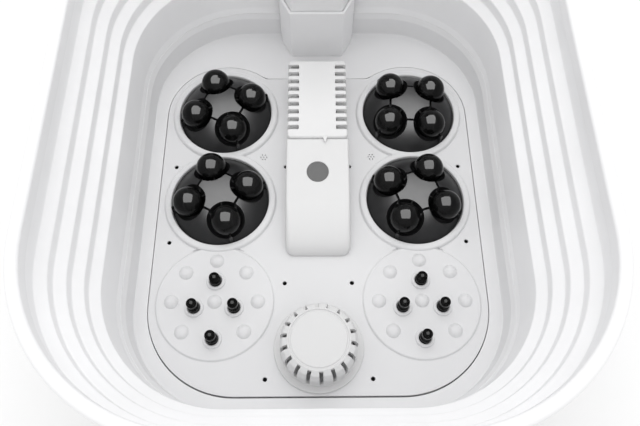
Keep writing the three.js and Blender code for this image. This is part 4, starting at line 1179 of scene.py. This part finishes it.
# Housing over the heater
def cover_height(y):
    """Height of the front cover over the plate."""
    if y < COVER_BEND_Y:
        share = (COVER_BEND_Y - y) / (COVER_BEND_Y - COVER_FRONT_Y)
        return SEAT_GAP + (COVER_FRONT_TOP - SEAT_GAP) * sqrt(max(0, 1 - share ** 2))
    share = (y - COVER_BEND_Y) / (COVER_STEP_Y - COVER_BEND_Y)
    return COVER_FRONT_TOP + (COVER_TOP - COVER_FRONT_TOP) * share


def cover_half(y):
    corner = max(0.0, COVER_CORNER - (y - COVER_FRONT_Y))
    return COVER_HALF - COVER_CORNER + sqrt(COVER_CORNER ** 2 - corner ** 2)


def cover_ring(y, inset=0.0):
    """A section of the front cover, square to its length."""
    low = PLATE_TOP + SEAT_GAP
    top = PLATE_TOP + cover_height(y) - inset
    half = cover_half(y) - inset
    nose = max(0.0, (COVER_BEND_Y - y) / (COVER_BEND_Y - COVER_FRONT_Y))
    edge = min(COVER_EDGE + COVER_NOSE_EDGE * nose, (top - low) * 0.48)
    arch = [(half, low)] + arc(half - edge, top - edge, edge, 0, QUARTER, 5)
    arch += [(half - edge - (half - edge) * 2 * i / 9, top) for i in range(1, 9)]
    arch += arc(edge - half, top - edge, edge, QUARTER, pi, 5) + [(-half, low)]
    return [(x, y, z) for x, z in arch]


def on_cover(shape):
    """Places a shape, drawn round the origin, where the lens is, square to the cover's slope."""
    slope = atan((COVER_TOP - COVER_FRONT_TOP) / (COVER_STEP_Y - COVER_BEND_Y))
    return moved(turned_about(shape, slope, "X"), 0, LENS_Y, PLATE_TOP + cover_height(LENS_Y))


def front_cover():
    rear = COVER_STEP_Y - SEAT_GAP / 2
    reach = COVER_BEND_Y - COVER_FRONT_Y
    stations = [COVER_BEND_Y - reach * cos(a) for a in np.linspace(0.06, QUARTER, 22)]
    stations += list(np.linspace(COVER_BEND_Y, rear - 0.6, 12)[1:])
    rings = [cover_ring(y) for y in stations]
    rings += [cover_ring(rear - 0.2, 0.15), cover_ring(rear, 0.6)]
    made = new_object("front_cover_form", loft(rings))
    recess = flared_hole(LENS_RADIUS + SEAT_GAP, 0.4, 0.35, 0, -2 * LENS_THICK, LENS_THICK, TURN_STEPS)
    cut(made, on_cover(recess))
    finished(made, "white_detail")


def lamp_lens():
    """A window with a hollow face, sunk in the cover."""
    low, middle = -LENS_SUNK - LENS_THICK, -LENS_SUNK - LENS_DISH
    dish = [(LENS_RADIUS * s, -LENS_SUNK - LENS_DISH * (1 - s * s)) for s in np.linspace(0.97, 0, 10)[:-1]]
    shape = turned([(0, low), (LENS_RADIUS, low), (LENS_RADIUS, -0.5)] + dish + [(0, middle)])
    finished(new_object("lamp_lens_form", on_cover(shape)), "lens_grey")


def grille_cover():
    low, top = PLATE_TOP + SEAT_GAP, PLATE_TOP + GRILLE_TOP
    front = COVER_STEP_Y + SEAT_GAP / 2
    middle, half_length = (front + GRILLE_REAR_Y) / 2, (GRILLE_REAR_Y - front) / 2

    def plan(offset):
        outline = rounded_rectangle(GRILLE_HALF + offset, half_length + offset, GRILLE_CORNER + offset, 6, 12)
        return [(x, y + middle) for x, y in outline]

    made = new_object("grille_cover_form", edged_prism(plan, low, top, GRILLE_EDGE))
    inner = GRILLE_HALF - GRILLE_SLOT_REACH
    half = GRILLE_SLOT_WIDTH / 2
    length = GRILLE_SLOT_REACH + 2
    slot = prism(rounded_rectangle(length / 2, half, half * 0.4, 5, 1), top - GRILLE_SLOT_DROP, top + OVERRUN)
    slots = [(inner + length / 2, GRILLE_FIRST_Y + i * GRILLE_PITCH) for i in range(GRILLE_SLOTS)]
    cut(made, prism(plan(-COVER_WALL), low - OVERRUN, top - COVER_WALL), spread(slot, on_both_sides(slots)))
    ledge_rear = GRILLE_FIRST_Y + (GRILLE_SLOTS - 1) * GRILLE_PITCH + 5
    ledge = block(inner + 0.9, GRILLE_HALF - COVER_WALL + 0.3, GRILLE_FIRST_Y - GRILLE_PITCH, ledge_rear,
                  top - 8.0, top - 6.0)
    tab = prism([(INDEX_X - INDEX_HALF, front + 1), (INDEX_X, front - INDEX_LENGTH), (INDEX_X + INDEX_HALF, front + 1)],
                PLATE_TOP + COVER_TOP + SEAT_GAP, top - 0.5)
    add(made, ledge, mirrored(ledge), tab)
    finished(made, "white_detail")


# Pillar
def pillar_lower():
    low = PLATE_TOP + SEAT_GAP
    column = edged_prism(lambda offset: pillar_outline(-offset), low, PILLAR_TOP, PILLAR_EDGE)
    made = new_object("pillar_lower_form", column)
    cut(made, prism(pillar_outline(PILLAR_WALL), low - OVERRUN, PILLAR_TOP + OVERRUN))
    finished(made, "grey_shell")


# Folding wall and rim
def folding_wall():
    folds_low = WALL_BOTTOM + WALL_FOOT_HEIGHT
    folds_high = WALL_TOP - RIM_INNER_HEIGHT - RIM_ROOF
    pitch = (folds_high - folds_low) / FOLDS
    line = [(WALL_FOOT_OFFSET, WALL_BOTTOM, 0.4)]
    for i in range(FOLDS):
        low = folds_low + i * pitch
        line.append((WALL_FOOT_OFFSET + i * FOLD_STEP, low, FOLD_SOFTNESS))
        line.append((WALL_FOOT_OFFSET + (i + 1) * FOLD_STEP, low + FOLD_RISE, FOLD_SOFTNESS))
    line.append((WALL_TOP_OFFSET, WALL_TOP, 0.4))
    outer = [(offset + WALL_THICK, z, radius) for offset, z, radius in line]
    made = new_object("folding_wall_form", round_basin(soften(outer + line[::-1], 6)))
    finished(made, "grey_wall")
    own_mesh(made)


def wall_seal():
    """A soft lip in front of the groove, from the ridge up to the wall."""
    ridge, wall = RIDGE_OFFSET + RIDGE_WIDTH, WALL_FOOT_OFFSET - SEAL_GAP
    low, lip = RIDGE_TOP - SEAL_DEPTH, RIDGE_TOP + SEAL_GAP
    profile = soften([
        (ridge + SEAL_GAP, low, 0.1), (wall, low, 0.1), (wall, lip + SEAL_RISE, 0), (ridge - 0.4, lip, 0.3),
        (ridge + SEAL_GAP, lip, 0),
    ], 6)
    finished(new_object("wall_seal", round_basin(profile)), "grey_wall")


def rim():
    roof = RIM_TOP - RIM_ROOF
    inner_low = RIM_TOP - RIM_INNER_HEIGHT
    outer_low = RIM_TOP - RIM_HEIGHT
    inner = RIM_INNER + RIM_INNER_WALL
    top = RIM_OUTER - RIM_DRAFT
    profile = soften([
        (RIM_INNER, inner_low, 0.8), (inner, inner_low, 0.8), (inner, roof, 0.3), (top - RIM_OUTER_WALL, roof, 0.6),
        (RIM_OUTER - RIM_OUTER_WALL, outer_low, 0.9), (RIM_OUTER, outer_low, 0.9), (top, RIM_TOP, 3.0),
        (RIM_INNER, RIM_TOP, 3.0),
    ], 6)
    finished(new_object("rim_form", round_basin(profile)), "grey_shell", "rim")


# Control head
def head_plan(offset):
    half_length = (HEAD_REAR_Y - HEAD_FRONT_Y) / 2
    outline = rounded_rectangle(HEAD_HALF + offset, half_length + offset, HEAD_CORNER + offset, 8, 6)
    return [(x, y + HEAD_MIDDLE_Y) for x, y in outline]


def head_ring(offset, below):
    """The head's plan on a level that lies below its tilted top."""
    slope = tan(HEAD_TILT)
    return [(x, y, HEAD_MIDDLE_TOP + (y - HEAD_MIDDLE_Y) * slope - below) for x, y in head_plan(offset)]


def panel_outline(offset):
    return rounded_rectangle(PANEL_HALF_X + offset, PANEL_HALF_Y + offset, PANEL_CORNER + offset, 8, 4)


def control_head():
    rings = [at(head_plan(-inset), HEAD_UNDERSIDE + rise) for inset, rise in rounding(HEAD_LOW_EDGE)]
    rings += [head_ring(-inset, drop) for drop, inset in rounding(HEAD_EDGE, 5)]
    made = new_object("control_head_form", loft(rings))
    inner, outer = RIM_INNER - SEAT_GAP, RIM_OUTER + 30
    low, high = HEAD_UNDERSIDE - 30, RIM_TOP + SEAT_GAP
    cut(made, round_basin([(inner, low), (outer, low), (outer, high), (inner, high)]))
    tongue_low = PILLAR_TOP - TONGUE_OVERLAP
    inset = PILLAR_WALL + TONGUE_GAP
    add(made, prism(pillar_outline(inset), tongue_low, HEAD_UNDERSIDE + OVERRUN))
    bore = prism(pillar_outline(inset + TONGUE_WALL), tongue_low - OVERRUN, HEAD_UNDERSIDE + 3.6)
    opening = tilted(prism(panel_outline(SEAT_GAP), PANEL_TOP - PANEL_THICK - SEAT_GAP, 10))
    hollow = tilted(prism(panel_outline(-2.0), -BOARD_ROOM, 9))
    cut(made, bore, opening, hollow)
    finished(made, "grey_shell", "rim")


def display_panel():
    low = PANEL_TOP - PANEL_THICK
    made = new_object("display_panel_form", tilted(edged_prism(panel_outline, low, PANEL_TOP, PANEL_EDGE)))
    hole = flared_hole(BUTTON_RADIUS + SEAT_GAP, 0.5, 0.4, PANEL_TOP, low - 1, 2, TURN_STEPS)
    window = prism(rounded_rectangle(*WINDOW_HALF, 2.0, 6, 3), PANEL_TOP - WINDOW_DEPTH, 2)
    cut(made, *[tilted(moved(hole, x, BUTTON_Y)) for x in BUTTON_X.values()], tilted(moved(window, 0, WINDOW_Y)))
    finished(made, "panel_black", "rim")


def button_marks(node):
    """Small raised marks: a ring, three dots, or two bars."""
    high = MARK_HEIGHT
    if node == "button_power":
        return [lathe([(1.7, 0, 0), (2.2, 0, 0), (2.2, high, 0.1), (1.7, high, 0.1)], SMALL_STEPS)]
    if node == "button_bubbles":
        dot = lathe([(0, 0, 0), (0.65, 0, 0), (0.65, high, 0.2), (0, high, 0)], HOLE_STEPS)
        return [moved(dot, x, y) for x, y in on_circle(1.7, (0.5, 2.6, 4.7))]

    def bar_outline(offset):
        return rounded_rectangle(2.1 + offset, 0.42 + offset, 0.4 + offset, 4, 1)

    bar = edged_prism(bar_outline, 0, high, 0.15, 2)
    return [moved(bar, 0, y) for y in (-0.9, 0.9)]


def buttons():
    flange_top = PANEL_TOP - PANEL_THICK - SEAT_GAP
    low = flange_top - BUTTON_FLANGE_THICK
    top = PANEL_TOP + BUTTON_LIFT
    middle = top - BUTTON_DISH
    button = lathe([
        (0, low, 0), (BUTTON_FLANGE, low, 0.2), (BUTTON_FLANGE, flange_top, 0.2), (BUTTON_RADIUS, flange_top, 0.2),
        (BUTTON_RADIUS, top, 0.7), (BUTTON_RADIUS - 1.4, top, 0.5), (2.0, middle, 3), (0, middle, 0),
    ])
    for node, x in BUTTON_X.items():
        made = new_object(node + "_form", tilted(moved(button, x, BUTTON_Y)))
        add(made, *[tilted(moved(mark, x, BUTTON_Y, top - 0.5)) for mark in button_marks(node)])
        finished(made, "grey_shell", node)


# Inner pieces keep their shape from the frame
INNER = {
    "gear_white": ["pinion_left", "pinion_right"] + [f"gear_{name}" for name in DISCS],
    "motor_steel": ["motor_left", "motor_right", "air_pump"],
    "board_green": ["power_board", "control_board"],
    "heater_aluminium": ["heater"],
}


def inner_pieces():
    for slot, nodes in INNER.items():
        for node in nodes:
            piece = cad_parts[node]
            piece.data.materials.clear()
            piece.data.materials.append(FINISHES[slot])


bpy.context.scene.view_settings.view_transform = "Standard"
make_camera()
make_world()
make_floor()
for make in (base_pan, feet, cord_gland, lower_tub, foot_plate, plate_screws, pin_inserts, roller_discs, herb_cup,
             herb_cap, front_cover, lamp_lens, grille_cover, pillar_lower, folding_wall, wall_seal, rim, control_head,
             display_panel, buttons, inner_pieces, light_gloss):
    make()
